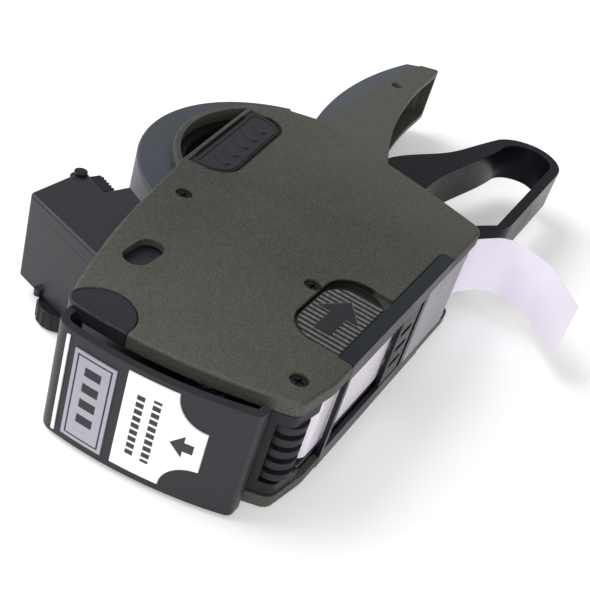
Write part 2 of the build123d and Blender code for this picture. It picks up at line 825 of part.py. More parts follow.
# The return spring is wound round the pin beside the trigger, with two straight legs.
spring_wire = 0.6
spring_turns = 3
spring_radius = pin_radius + 1.3
spring_pitch = 0.55
spring_low = trigger_high + 0.2
spring_height = (spring_turns - 1) * spring_pitch + spring_wire
leg_length = 12.0
with BuildPart() as trigger_spring:
    with BuildSketch(Plane.XZ.offset(-pivot[1])):
        coil_centre = spring_low + spring_height / 2
        with Locations((spring_radius, coil_centre)):
            with GridLocations(0, spring_pitch, 1, spring_turns):
                Circle(spring_wire / 2)
            Rectangle(spring_wire / 2, spring_height - spring_wire)
    revolve(axis=Axis((pivot[0], pivot[1], 0), (0, 0, 1)))
    for side, height in ((1, spring_low), (-1, spring_low + spring_height - spring_wire)):
        leg_x = pivot[0] + side * (leg_length / 2 - spring_wire)
        with Locations((leg_x, pivot[1] - spring_radius, height + spring_wire / 2)):
            Cylinder(0.4 * spring_wire, leg_length, rotation=(0, 90, 0))
save(trigger_spring, "trigger_spring")

# ---- print arm: two cheeks and a crosspiece, with the print head on its front ----
block_rear = (-front_reach + 51.6, -2.0)
block_height = 16.0
block_depth = 6.0
head_rear = block_rear[0] - block_depth
with BuildPart() as print_arm:
    for height in (cheek_low, cheek_high):
        with BuildSketch(Plane.XY.offset(height)):
            with BuildLine():
                Polyline(
                    (pivot[0] + 3.0, pivot[1] + 5.2),
                    (block_rear[0], block_rear[1]),
                    (block_rear[0] - block_depth, block_rear[1]),
                    (block_rear[0] - block_depth, block_rear[1] - block_height),
                    (block_rear[0], block_rear[1] - block_height),
                    (pivot[0] - 5.0, pivot[1] - 3.6),
                    close=True,
                )
            make_face()
            with Locations(pivot):
                Circle(hub_radius - 0.4)
                Circle(pin_radius + running_fit, mode=Mode.SUBTRACT)
        extrude(amount=cheek_thickness)
    with BuildSketch(Plane.XY.offset(cheek_low)):
        with Locations((block_rear[0] - block_depth / 2, block_rear[1] - block_height / 2)):
            Rectangle(block_depth, block_height)
    extrude(amount=cheek_high + cheek_thickness - cheek_low)
save(print_arm, "print_arm")

head_front_top = (-front_reach + 32.9, 45.6)
head_front_bend = (-front_reach + 23.7, 14.5)
head_foot = head_front_low[1]
notch_inner = (-front_reach + 50.6, 33.0)
notch_outer = (-front_reach + 59.4, 29.8)
notch_top = (-front_reach + 54.2, 41.5)
with BuildSketch() as head_outline:
    with BuildLine():
        Polyline(
            head_front_top,
            head_front_bend,
            (head_front_low[0], head_foot + 10.0),
            head_front_low,
            (head_rear, head_foot),
            (head_rear, block_rear[1] + 3.0),
            (-front_reach + 56.6, 24.6),
            notch_outer,
            notch_inner,
            notch_top,
            (-front_reach + 50.3, 44.3),
            close=True,
        )
    make_face()
    fillet(corner_near(head_outline, head_front_top), 2.0)

with BuildSketch() as head_cavity:
    add(head_outline.sketch)
    offset(amount=-housing_wall, kind=Kind.INTERSECTION)

lid_overlap = 1.2          # how far the lid reaches down beside the arm's upper cheek
lid_low = cheek_high + cheek_thickness - lid_overlap
lid_thickness = head_high - lid_low

# bands run from the selector shaft down to the type face, which is level at the end of the stroke
band_count = 6
band_width = 2.4
band_pitch = 3.0
band_wall = 0.6
band_turn = 1.4
band_drive = 2.2
band_low = mid - band_count * band_pitch / 2
band_span = band_count * band_pitch
type_length = 8.4
type_stand_off = 1.4       # type face above the platen at the end of the stroke
type_centre_x = platen_front + 7.5
block_wall = 0.9
face_stand_out = 0.8
turn_y = platen_y + type_stand_off + band_turn
turn_front = turned((type_centre_x - type_length / 2, turn_y), -arm_travel, pivot)
turn_rear = turned((type_centre_x + type_length / 2, turn_y), -arm_travel, pivot)
block_front_x = turn_front[0] - band_turn - slide_gap - block_wall
block_rear_x = turn_rear[0] + band_turn + slide_gap + block_wall


def band_profile(change):
    """The loop of a print band, larger or smaller all round."""
    with BuildSketch(mode=Mode.PRIVATE) as profile:
        with Locations(knob_place):
            Circle(band_drive + change)
        with Locations(turn_front, turn_rear):
            Circle(band_turn + change)
        make_hull()
    return profile.sketch


# The release tab hangs from a pin in the head's rear top corner and fills the notch below it.
tab_pin = (-front_reach + 52.3, 42.9)
tab_pin_radius = 1.0
tab_hub = 3.0
tab_low = 24.0
tab_high = head_high - 1.0
tab_depth = 4.2
tab_rib = 0.5
tab_boss = 3.0
notch_length = ((notch_top[0] - notch_inner[0]) ** 2 + (notch_top[1] - notch_inner[1]) ** 2) ** 0.5
notch_along = ((notch_top[0] - notch_inner[0]) / notch_length, (notch_top[1] - notch_inner[1]) / notch_length)


def in_notch(up, out):
    """A point at a distance up the notch's face and out from it."""
    return (
        notch_inner[0] + up * notch_along[0] + out * notch_along[1],
        notch_inner[1] + up * notch_along[1] - out * notch_along[0],
    )


with BuildPart() as head_housing:
    with BuildSketch(Plane.XY.offset(head_low)):
        add(head_outline.sketch)
    extrude(amount=lid_low - head_low)
    with BuildSketch(Plane.XY.offset(head_low + housing_wall)):
        add(head_cavity.sketch)
        with Locations(((block_front_x + block_rear_x) / 2, head_foot)):
            Rectangle(block_rear_x - block_front_x + 2 * seat_gap, 10.0)
        add(band_profile(slide_gap))
    extrude(amount=lid_low - head_low, mode=Mode.SUBTRACT)
    # index mark beside the knob
    with BuildSketch(Plane.XY.offset(head_low)):
        with Locations((knob_place[0] - 2.2, knob_place[1] + 7.0)):
            Circle(1.3)
    extrude(amount=2.4)
    with BuildSketch(Plane.XY.offset(head_low)):
        with Locations(knob_place):
            Circle(axle_radius + running_fit)
    extrude(amount=housing_wall, mode=Mode.SUBTRACT)
    with BuildSketch(Plane.XY.offset(tab_low - slide_gap)):
        with Locations(tab_pin):
            Circle(tab_hub + slide_gap)
    extrude(amount=lid_low - tab_low + slide_gap, mode=Mode.SUBTRACT)
    with BuildSketch(Plane.XY.offset(tab_low - tab_boss)):
        with Locations(tab_pin):
            Circle(tab_hub)
    extrude(amount=tab_boss - slide_gap)
    with BuildSketch(Plane.XY.offset(tab_low - tab_boss)):
        with Locations(tab_pin):
            Circle(tab_pin_radius + seat_gap)
    extrude(amount=tab_boss, mode=Mode.SUBTRACT)
save(head_housing, "head_housing")

with BuildPart() as head_lid:
    with BuildSketch(Plane.XY.offset(lid_low + seat_gap)):
        add(head_outline.sketch)
    extrude(amount=lid_thickness - seat_gap)
    fillet(head_lid.faces().sort_by(Axis.Z)[-1].outer_wire().edges(), 1.0)
    with BuildSketch(Plane.XY.offset(lid_low)):
        add(head_cavity.sketch)
    extrude(amount=lid_thickness - housing_wall, mode=Mode.SUBTRACT)
    with BuildSketch(Plane.XY.offset(lid_low)):
        with Locations(tab_pin):
            Circle(tab_hub + slide_gap)
    extrude(amount=tab_high + slide_gap - lid_low, mode=Mode.SUBTRACT)
    with BuildSketch(Plane.XY.offset(tab_high)):
        with Locations(tab_pin):
            Circle(tab_pin_radius + seat_gap)
    extrude(amount=lid_thickness, mode=Mode.SUBTRACT)
save(head_lid, "head_lid")

with BuildPart() as release_tab:
    with BuildSketch(Plane.XY.offset(tab_low)):
        with BuildLine():
            Polyline(
                in_notch(1.0, slide_gap),
                in_notch(notch_length, slide_gap),
                in_notch(notch_length, tab_depth),
                in_notch(1.0, tab_depth),
                close=True,
            )
        make_face()
        for rib in range(5):
            with Locations(in_notch(1.8 + 1.5 * rib, tab_depth)):
                Circle(tab_rib)
        with Locations(tab_pin):
            Circle(tab_hub)
            Circle(tab_pin_radius + running_fit, mode=Mode.SUBTRACT)
    extrude(amount=tab_high - tab_low)
save(release_tab, "release_tab")

with BuildPart() as head_cap:
    with BuildSketch(Plane.XY.offset(tab_low - tab_boss)):
        with Locations(tab_pin):
            Circle(tab_pin_radius)
    extrude(amount=head_high - tab_low + tab_boss)
    with BuildSketch(Plane.XY.offset(head_high + seat_gap)):
        with Locations(tab_pin):
            Circle(2.0)
    extrude(amount=0.9)
    with BuildSketch(Plane.XY.offset(head_high)):
        with Locations(tab_pin):
            Circle(tab_pin_radius)
    extrude(amount=0.5)
save(head_cap, "head_cap")

# ---- type block and print bands inside the head ----
with BuildPart() as type_block:
    with BuildSketch(Plane.XY.offset(band_low - 1.6)):
        with BuildLine():
            Polyline(
                (block_front_x, head_foot + 8.0),
                (block_rear_x, head_foot + 8.0),
                (block_rear_x, turn_rear[1] - band_turn + face_stand_out),
                (block_front_x, turn_front[1] - band_turn + face_stand_out),
                close=True,
            )
        make_face()
    extrude(amount=band_span + 3.2)
    with BuildSketch(Plane.XY.offset(band_low - 0.2)):
        add(band_profile(slide_gap))
    extrude(amount=band_span + 0.4, mode=Mode.SUBTRACT)
save(type_block, "type_block")

with BuildPart() as print_bands:
    for band in range(band_count):
        with BuildSketch(Plane.XY.offset(band_low + (band + 0.5) * band_pitch - band_width / 2)):
            add(band_profile(0.0))
            add(band_profile(-band_wall), mode=Mode.SUBTRACT)
        extrude(amount=band_width)
save(print_bands, "print_bands")

# ---- selector: a shaft that pulls out and a knob that turns on it ----
shaft_cap = 2.4
knob_high = head_low - slide_gap
knob_recess = 1.6
with BuildPart() as selector_shaft:
    with BuildSketch(Plane.XY.offset(knob_low + 0.3)):
        with Locations(knob_place):
            Circle(shaft_cap)
    extrude(amount=0.9)
    with BuildSketch(Plane.XY.offset(knob_low + 0.3)):
        with Locations(knob_place):
            Circle(axle_radius)
    extrude(amount=lid_low - 0.6 - knob_low)
save(selector_shaft, "selector_shaft")

flute_count = 16
flute_radius = 1.0
with BuildPart() as selector_knob:
    with BuildSketch(Plane.XY.offset(knob_low)):
        with Locations(knob_place):
            Circle(knob_radius)
    extrude(amount=knob_high - knob_low)
    chamfer(selector_knob.edges().filter_by(GeomType.CIRCLE), 0.5)
    with BuildSketch(Plane.XY.offset(knob_low)):
        with Locations(knob_place):
            with PolarLocations(knob_radius + 0.5 * flute_radius, flute_count):
                Circle(flute_radius)
            Circle(axle_radius + running_fit)
    extrude(amount=knob_high - knob_low, mode=Mode.SUBTRACT)
    with BuildSketch(Plane.XY.offset(knob_low)):
        with Locations(knob_place):
            Circle(shaft_cap + slide_gap)
    extrude(amount=knob_recess, mode=Mode.SUBTRACT)
save(selector_knob, "selector_knob")

# ---- ink roller and its cartridge ----
ink_radius = 6.0
ink_core = 3.4
arm_gap = plate_low + plate_thickness + seat_gap
arm_width = 1.6
ink_low = arm_gap + arm_width + slide_gap
ink_length = body_width - 2 * ink_low
cartridge_top = ink_place[1] + ink_radius + 4.0
with BuildPart() as ink_cartridge:
    for height in (arm_gap, body_width - arm_gap - arm_width):
        with BuildSketch(Plane.XY.offset(height)):
            with Locations(ink_place):
                Circle(2.8)
            with Locations((ink_place[0], (ink_place[1] + cartridge_top) / 2)):
                Rectangle(5.6, cartridge_top - ink_place[1])
            with Locations(ink_place):
                Circle(axle_radius + running_fit, mode=Mode.SUBTRACT)
        extrude(amount=arm_width)
    with BuildSketch(Plane.XY.offset(arm_gap)):
        with Locations((ink_place[0], cartridge_top - 0.9)):
            Rectangle(7.6, 1.8)
    extrude(amount=body_width - 2 * arm_gap)
save(ink_cartridge, "ink_cartridge")

with BuildPart() as ink_axle:
    with BuildSketch(Plane.XY.offset(arm_gap + 0.2)):
        with Locations(ink_place):
            Circle(axle_radius)
    extrude(amount=body_width - 2 * arm_gap - 0.4)
    with BuildSketch(Plane.XY.offset(ink_low)):
        with Locations(ink_place):
            Circle(ink_core)
    extrude(amount=ink_length)
save(ink_axle, "ink_axle")

with BuildPart() as ink_roller:
    with BuildSketch(Plane.XY.offset(ink_low + 0.4)):
        with Locations(ink_place):
            Circle(ink_radius)
            Circle(ink_core + 0.02, mode=Mode.SUBTRACT)
    extrude(amount=ink_length - 0.8)
save(ink_roller, "ink_roller")

# ---- applicator roller ----
with BuildPart() as applicator_axle:
    with BuildSketch(Plane.XY.offset(plate_low)):
        with Locations(roller_place):
            Circle(axle_radius)
    extrude(amount=body_width - 2 * plate_low)
save(applicator_axle, "applicator_axle")

ring_count = 5
ring_width = 2.2
ring_pitch = (roller_length - ring_width) / (ring_count - 1)
with BuildPart() as applicator_roller:
    with BuildSketch(Plane.XY.offset(mid - roller_length / 2)):
        with Locations(roller_place):
            Circle(roller_rim - 1.7)
    extrude(amount=roller_length)
    for ring in range(ring_count):
        with BuildSketch(Plane.XY.offset(mid - roller_length / 2 + ring * ring_pitch)):
            with Locations(roller_place):
                Circle(roller_rim)
        extrude(amount=ring_width)
    with BuildSketch(Plane.XY.offset(mid - roller_length / 2)):
        with Locations(roller_place):
            Circle(axle_radius + running_fit)
    extrude(amount=roller_length, mode=Mode.SUBTRACT)
save(applicator_roller, "applicator_roller")

# ---- feed wheel, ratchet and hold-back pawl ----
feed_radius = feed_place[1] - floor_y - web_thickness / 2 - 0.25
feed_low = 12.0
feed_length = 12.0
feed_rim = 2.4
tooth_count = 12
with BuildPart() as feed_axle:
    with BuildSketch(Plane.XY.offset(plate_low)):
        with Locations(feed_place):
            Circle(axle_radius)
    extrude(amount=body_width - 2 * plate_low)
save(feed_axle, "feed_axle")

with BuildPart() as feed_wheel:
    with BuildSketch(Plane.XY.offset(feed_low)):
        with Locations(feed_place):
            Circle(0.6 * feed_radius)
    extrude(amount=feed_length)
    for height in (feed_low, feed_low + feed_length - feed_rim):
        with BuildSketch(Plane.XY.offset(height)):
            with Locations(feed_place):
                Circle(feed_radius - 0.5)
                with PolarLocations(feed_radius - 0.6, tooth_count):
                    Circle(0.6)
        extrude(amount=feed_rim)
    with BuildSketch(Plane.XY.offset(feed_low)):
        with Locations(feed_place):
            Circle(axle_radius + running_fit)
    extrude(amount=feed_length, mode=Mode.SUBTRACT)
save(feed_wheel, "feed_wheel")

ratchet_radius = 8.0
ratchet_root = 6.6
ratchet_low = feed_low + feed_length + 2.5
ratchet_width = 1.8
tooth_step = 360 / tooth_count
tooth_points = []
for tooth in range(tooth_count):
    for radius, angle in ((ratchet_radius, tooth * tooth_step), (ratchet_root, tooth * tooth_step + 4)):
        across = radius * cos(radians(angle))
        tooth_points.append((feed_place[0] + across, feed_place[1] + radius * sin(radians(angle))))
with BuildPart() as ratchet_wheel:
    with BuildSketch(Plane.XY.offset(feed_low + feed_length + seat_gap)):
        with Locations(feed_place):
            Circle(3.4)
    extrude(amount=ratchet_low - feed_low - feed_length - seat_gap)
    with BuildSketch(Plane.XY.offset(ratchet_low)):
        with BuildLine():
            Polyline(*tooth_points, close=True)
        make_face()
    extrude(amount=ratchet_width)
    with BuildSketch(Plane.XY.offset(feed_low + feed_length)):
        with Locations(feed_place):
            Circle(axle_radius + running_fit)
    extrude(amount=ratchet_low + ratchet_width - feed_low - feed_length, mode=Mode.SUBTRACT)
save(ratchet_wheel, "ratchet_wheel")

with BuildPart() as pawl_pin:
    with BuildSketch(Plane.XY.offset(plate_low)):
        with Locations(pawl_place):
            Circle(pawl_pin_radius)
    extrude(amount=body_width - 2 * plate_low)
save(pawl_pin, "pawl_pin")

pawl_tip = (feed_place[0] - ratchet_radius - slide_gap, feed_place[1] + 0.4)
with BuildPart() as holdback_pawl:
    with BuildSketch(Plane.XY.offset(ratchet_low)):
        with BuildLine():
            Polyline(
                pawl_tip,
                (pawl_place[0], pawl_place[1] + 2.0),
                (pawl_place[0], pawl_place[1] - 2.0),
                (pawl_tip[0] - 0.8, pawl_tip[1] - 1.4),
                close=True,
            )
        make_face()
        with Locations(pawl_place):
            Circle(2.2)
            Circle(pawl_pin_radius + running_fit, mode=Mode.SUBTRACT)
    extrude(amount=ratchet_width)
save(holdback_pawl, "holdback_pawl")

# ---- label roll on its spool and spindle ----
core_outer = 12.5
core_inner = 10.0
with BuildPart() as label_roll:
    with BuildSketch(Plane.XY.offset(web_low)):
        Circle(roll_radius)
        Circle(core_outer + 0.02, mode=Mode.SUBTRACT)
    extrude(amount=label_width)
save(label_roll, "label_roll")

with BuildPart() as roll_core:
    with BuildSketch(Plane.XY.offset(web_low)):
        Circle(core_outer)
        Circle(core_inner, mode=Mode.SUBTRACT)
    extrude(amount=label_width)
save(roll_core, "roll_core")

flange_radius = 15.0
flange_thickness = 0.9
with BuildPart() as roll_spool:
    with BuildSketch(Plane.XY.offset(web_low - seat_gap)):
        Circle(core_inner - seat_gap)
    extrude(amount=label_width + 2 * seat_gap)
    for height in (web_low - seat_gap - flange_thickness, web_high + seat_gap):
        with BuildSketch(Plane.XY.offset(height)):
            Circle(flange_radius)
        extrude(amount=flange_thickness)
    with BuildSketch(Plane.XY):
        Circle(spindle_radius + running_fit)
        with PolarLocations(6.5, 6):
            Circle(1.6)
    extrude(amount=body_width, mode=Mode.SUBTRACT)
save(roll_spool, "roll_spool")

with BuildPart() as roll_spindle:
    with BuildSketch(Plane.XY.offset(cover_face + seat_gap)):
        Circle(spindle_radius)
    extrude(amount=body_width - 2 * cover_face - 2 * seat_gap)
save(roll_spindle, "roll_spindle")

# ---- latch pads in the covers' recesses, each with a spring ----
pad_low = body_width - recess_depth + 0.1
pad_thickness = 1.3
pad_rib = 0.4
stem_x = recess_place[0] - latch_travel / 2
with BuildPart() as left_latch_pad:
    with BuildSketch(Plane.XY.offset(pad_low)):
        add(recess_face(slide_gap, latch_travel + slide_gap))
    extrude(amount=pad_thickness - pad_rib)
    # ribs across the pad, left out where the arrow lies
    with BuildSketch(Plane.XY.offset(pad_low + pad_thickness - pad_rib)):
        with Locations((recess_place[0] - latch_travel / 2 - slide_gap, recess_place[1])):
            with GridLocations(2.0, 0, 14, 1):
                Rectangle(1.0, recess_height)
        add(recess_face(slide_gap + 0.6, latch_travel + slide_gap), mode=Mode.INTERSECT)
    extrude(amount=pad_rib)
    arrow_x = recess_place[0] - latch_travel / 2
    with BuildSketch(Plane.XY.offset(pad_low + pad_thickness - pad_rib)):
        with BuildLine():
            Polyline(
                (arrow_x - 9.0, recess_place[1] + 2.6),
                (arrow_x + 1.0, recess_place[1] + 2.6),
                (arrow_x + 1.0, recess_place[1] + 6.4),
                (arrow_x + 9.5, recess_place[1]),
                (arrow_x + 1.0, recess_place[1] - 6.4),
                (arrow_x + 1.0, recess_place[1] - 2.6),
                (arrow_x - 9.0, recess_place[1] - 2.6),
                close=True,
            )
        make_face()
    extrude(amount=pad_rib)
    with BuildSketch(Plane.XY.offset(skirt_top + 0.2)):
        with Locations((stem_x, recess_place[1])):
            Rectangle(stem_length, stem_width)
    extrude(amount=pad_low - skirt_top - 0.2)
save(left_latch_pad, "left_latch_pad")

with BuildPart() as right_latch_pad:
    add(left_latch_pad.part.mirror(Plane.XY.offset(mid)))
save(right_latch_pad, "right_latch_pad")

spring_start = stem_x + stem_length / 2 + seat_gap
spring_end = recess_place[0] + stem_length / 2 + latch_travel / 2 + slide_gap - seat_gap
spring_bends = 4
spring_step = (spring_end - spring_start - 0.4) / spring_bends
with BuildPart() as left_latch_spring:
    with BuildSketch(Plane.XY.offset(skirt_top + 1.3)):
        for bend in range(spring_bends):
            bend_x = spring_start + 0.2 + bend * spring_step
            low_y = recess_place[1] - 1.6
            high_y = recess_place[1] + 1.6
            if bend % 2:
                low_y, high_y = high_y, low_y
            with BuildLine():
                Line((bend_x, low_y), (bend_x + spring_step, high_y))
        trace(line_width=0.35)
    extrude(amount=0.9)
save(left_latch_spring, "left_latch_spring")

with BuildPart() as right_latch_spring:
    add(left_latch_spring.part.mirror(Plane.XY.offset(mid)))
save(right_latch_spring, "right_latch_spring")

# ---- base door: side rails and floor, a cross bar and a rear plate with the hinge ears ----
rail_inner = cover_face + 0.4
window_low = (rail_front + 2.0, 6.0)
window_high = (rail_front + 52.0, body_width - 6.0)
bar_front = rail_front + 37.0
bar_rear = rail_front + 50.0
plate_front = rail_front + 55.0
plate_side = cover_depth + slide_gap
with BuildPart() as base_door:
    for height in (0.0, body_width - rail_inner):
        with BuildSketch(Plane.XY.offset(height)):
            add(rail_face(0.0))
        extrude(amount=rail_inner)
    with BuildSketch(Plane.XZ.offset(-base_y)):
        with Locations(((rail_front + rail_rear) / 2, mid)):
            Rectangle(rail_rear - rail_front, body_width)
        with Locations(((window_low[0] + window_high[0]) / 2, mid)):
            Rectangle(window_high[0] - window_low[0], window_high[1] - window_low[1], mode=Mode.SUBTRACT)
        with Locations(((plate_front + rail_rear) / 2, mid)):
            Rectangle(
                rail_rear - plate_front + 2 * seat_gap, body_width - 2 * plate_side + 2 * seat_gap,
                mode=Mode.SUBTRACT,
            )
    extrude(amount=-door_floor)
save(base_door, "base_door")

with BuildPart() as door_bar:
    with BuildSketch(Plane.XZ.offset(-base_y - 0.2)):
        with Locations(((bar_front + bar_rear) / 2, mid)):
            Rectangle(bar_rear - bar_front, window_high[1] - window_low[1] - 2 * seat_gap)
            with GridLocations(0, 6.0, 1, 3):
                SlotOverall(8.0, 2.0, mode=Mode.SUBTRACT)
    extrude(amount=-door_floor + 0.2)
save(door_bar, "door_bar")

ear_low = plate_low + plate_thickness + 0.2
ear_width = 1.4
ear_hub = 2.6
door_end = hinge_place[0] - 3.0
with BuildPart() as door_plate:
    with BuildSketch(Plane.XZ.offset(-base_y)):
        with Locations(((plate_front + seat_gap + door_end) / 2, mid)):
            Rectangle(door_end - plate_front - seat_gap, body_width - 2 * plate_side)
    extrude(amount=-door_floor)
    for height in (ear_low, body_width - ear_low - ear_width):
        with BuildSketch(Plane.XY.offset(height)):
            with BuildLine():
                Polyline(
                    (door_end - 7.0, base_y + door_floor),
                    (door_end - 7.0, base_y),
                    (door_end + 1.0, base_y),
                    (hinge_place[0] + 1.6, hinge_place[1] - 2.0),
                    (hinge_place[0] - 1.0, hinge_place[1] + 2.4),
                    close=True,
                )
            make_face()
            with Locations(hinge_place):
                Circle(ear_hub)
                Circle(stub_radius + running_fit, mode=Mode.SUBTRACT)
        extrude(amount=ear_width)
save(door_plate, "door_plate")

with BuildPart() as door_hinge_stubs:
    for height in (plate_low, body_width - ear_low - ear_width):
        with BuildSketch(Plane.XY.offset(height)):
            with Locations(hinge_place):
                Circle(stub_radius)
        extrude(amount=ear_low + ear_width - plate_low)
save(door_hinge_stubs, "door_hinge_stubs")
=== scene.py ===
from math import cos, radians, sin

import bmesh
import bpy
from bpy.props import FloatProperty, FloatVectorProperty, PointerProperty
from mathutils import Matrix, Vector


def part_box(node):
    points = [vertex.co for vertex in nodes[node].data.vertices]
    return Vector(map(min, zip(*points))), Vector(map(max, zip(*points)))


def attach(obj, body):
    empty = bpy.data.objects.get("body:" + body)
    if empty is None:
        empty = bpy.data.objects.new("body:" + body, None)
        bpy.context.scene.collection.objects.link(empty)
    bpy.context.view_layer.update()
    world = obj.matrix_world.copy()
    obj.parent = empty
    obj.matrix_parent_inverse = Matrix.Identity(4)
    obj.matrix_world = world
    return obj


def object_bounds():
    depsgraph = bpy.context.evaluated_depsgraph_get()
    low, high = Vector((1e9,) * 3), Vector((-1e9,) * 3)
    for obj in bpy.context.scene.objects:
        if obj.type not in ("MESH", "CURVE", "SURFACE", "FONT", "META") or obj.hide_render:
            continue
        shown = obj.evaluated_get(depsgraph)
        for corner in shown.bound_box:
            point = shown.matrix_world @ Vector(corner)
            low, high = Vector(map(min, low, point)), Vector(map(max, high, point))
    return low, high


bl_info = {
    "name": "Price Labeling Gun",
    "version": (1, 0, 0),
    "blender": (4, 5, 0),
    "location": "3D View > Sidebar > Labeler",
    "description": "Finishes for a hand-held price labeling gun, with its floor, lights and camera",
    "category": "Object",
}

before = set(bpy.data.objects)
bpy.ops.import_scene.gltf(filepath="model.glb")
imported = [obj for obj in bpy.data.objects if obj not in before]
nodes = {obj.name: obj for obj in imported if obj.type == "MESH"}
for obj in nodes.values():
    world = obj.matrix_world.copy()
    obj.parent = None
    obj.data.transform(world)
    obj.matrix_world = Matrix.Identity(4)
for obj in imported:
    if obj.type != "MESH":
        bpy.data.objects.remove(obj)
cad_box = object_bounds()

millimetre = 0.001
floor_height = cad_box[0][2]
cover_low, cover_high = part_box("left_cover")


def colour(name, description, default):
    """A colour that can be changed in the panel."""
    return FloatVectorProperty(
        name=name, description=description, subtype="COLOR", size=3, min=0.0, max=1.0, default=default
    )


def length(name, description, default):
    """A length that can be changed in the panel, in metres."""
    return FloatProperty(
        name=name, description=description, default=default, min=0.0,
        subtype="DISTANCE", unit="LENGTH", precision=5,
    )


def amount(name, description, default, **settings):
    """A plain number that can be changed in the panel."""
    return FloatProperty(name=name, description=description, default=default, **settings)


class LabelerColours(bpy.types.PropertyGroup):
    """Colours of the gun's mouldings, papers and metal."""

    cover: colour("Cover", "Pebbled side covers", (0.028, 0.028, 0.023))
    cover_light: colour("Cover, light", "Paler cast towards the ends of the covers", (0.066, 0.064, 0.053))
    handle: colour("Handle", "Pebbled sides of the handle", (0.062, 0.062, 0.056))
    smooth: colour("Smooth plastic", "Roll housing, print head and front", (0.017, 0.019, 0.023))
    black: colour("Black plastic", "Trigger, knob and inner pieces", (0.004, 0.005, 0.008))
    rail: colour("Door", "Base door and its side rails", (0.007, 0.010, 0.015))
    pale: colour("Pale plate", "Rear plate of the base door", (0.36, 0.35, 0.38))
    nameplate: colour("Nameplate", "Blank nameplate on the front", (0.40, 0.385, 0.45))
    card: colour("Card", "White card and label paper", (0.86, 0.86, 0.87))
    backing: colour("Backing", "Backing strip that leaves the base", (0.86, 0.80, 0.90))
    print: colour("Print", "Marks printed on the card", (0.012, 0.012, 0.016))
    screw: colour("Screws", "Blackened screw heads", (0.045, 0.045, 0.05))
    rib: colour("Ribs", "Worn tops of the latch ribs", (0.15, 0.147, 0.138))
    steel: colour("Steel", "Pins, plates and screws", (0.46, 0.46, 0.47))
    board: colour("Board", "Core of the label roll", (0.42, 0.30, 0.18))
    ink: colour("Ink foam", "Foam of the ink roller", (0.018, 0.012, 0.045))


class LabelerSizes(bpy.types.PropertyGroup):
    """Sizes of the surface detail."""

    pebble: length("Pebble", "Width of one grain of the covers' texture", 0.0006)
    pebble_depth: length("Pebble depth", "Depth of the covers' texture", 0.00010)
    fine_depth: length("Fine depth", "Depth of the faint texture on smooth mouldings", 0.000012)
    edge: length("Edge", "Radius of the mouldings' edges", 0.0004)
    arrow_length: length("Arrow length", "Length of the arrow on a latch pad", 0.0180)
    arrow_width: length("Arrow width", "Width of the arrow's head", 0.0126)
    arrow_height: length("Arrow height", "Height of the arrow above the pad", 0.00012)
    pad_length: length("Latch pad", "Length of a latch pad without its stem", 0.0291)
    rib_height: length("Rib height", "Height of the ribs on a latch pad", 0.0004)
    pad_gap: length("Latch gap", "Gap between a latch pad and its recess", 0.0003)
    recess_length: length("Latch recess", "Length of the recess a latch pad slides in", 0.0340)
    recess_corner: length("Recess corner", "Radius of the recess's upper corners", 0.0090)
    badge_length: length("Badge pocket", "Length of the badge's pocket", 0.0470)
    badge_width: length("Badge pocket width", "Width of the badge's pocket", 0.0146)
    badge_corner: length("Badge corner", "Radius of the pocket's lower corners", 0.0085)
    badge_drop: length("Badge height", "Roll axis to the middle of the badge, across its length", 0.0207)
    badge_tilt: amount("Badge tilt", "Turn of the badge from the gun's length", radians(6.4), subtype="ANGLE")
    rim_inset: length("Badge rim inset", "Wall of the pocket to the rim round the badge", 0.0017)
    rim_width: length("Badge rim width", "Width of the rim round the badge", 0.0006)
    badge_sink: length("Badge depth", "Cover's face to the badge's face", 0.0004)
    rim_height: length("Badge rim height", "Height of the rim above the badge", 0.00025)
    drum_shadow: length("Drum shadow", "Radius inside which the roll housing is black", 0.0396)
    floor_size: length("Floor", "Width of the floor", 6.0)


class LabelerView(bpy.types.PropertyGroup):
    """Camera and lights."""

    elevation: amount("Elevation", "Height of the view above the floor", radians(35), subtype="ANGLE")
    heading: amount("Heading", "Turn of the view from the gun's length", radians(19.15), subtype="ANGLE")
    roll: amount("Roll", "Roll of the camera", radians(18.24), subtype="ANGLE")
    distance: length("Distance", "Camera to the point it looks at", 0.29921)
    aim: FloatVectorProperty(
        name="Aim", description="Point the camera looks at", size=3, subtype="XYZ", unit="LENGTH",
        default=(-0.06017, -0.03387, 0.038),
    )
    lens: amount("Lens", "Focal length for a sensor 36 mm wide", 67.1, min=1.0)
    key_power: amount("Key light", "Power of the main soft light", 11.0, min=0.0, unit="POWER")
    fill_power: amount("Fill light", "Power of the side light", 5.0, min=0.0, unit="POWER")
    floor_glow: amount("Floor glow", "Light the floor gives off itself", 0.22, min=0.0)
    sky: amount("Sky", "Strength of the surrounding light", 0.42, min=0.0)


# ---- shader building ----


class Value:
    """A shader socket that can be used in ordinary sums; each operator adds its Math node."""

    def __init__(self, shader, socket):
        self.shader = shader
        self.socket = socket

    def sum_with(self, operation, first, second):
        settings = {"operation": operation}
        return self.shader.node("Math", settings, {0: first, 1: second})

    def __add__(self, other):
        return self.sum_with("ADD", self, other)

    def __radd__(self, other):
        return self.sum_with("ADD", other, self)

    def __sub__(self, other):
        return self.sum_with("SUBTRACT", self, other)

    def __rsub__(self, other):
        return self.sum_with("SUBTRACT", other, self)

    def __mul__(self, other):
        return self.sum_with("MULTIPLY", self, other)

    def __rmul__(self, other):
        return self.sum_with("MULTIPLY", other, self)

    def __truediv__(self, other):
        return self.sum_with("DIVIDE", self, other)

    def __lt__(self, other):
        return self.sum_with("LESS_THAN", self, other)

    def __gt__(self, other):
        return self.sum_with("GREATER_THAN", self, other)

    def __abs__(self):
        return self.shader.node("Math", {"operation": "ABSOLUTE"}, {0: self})


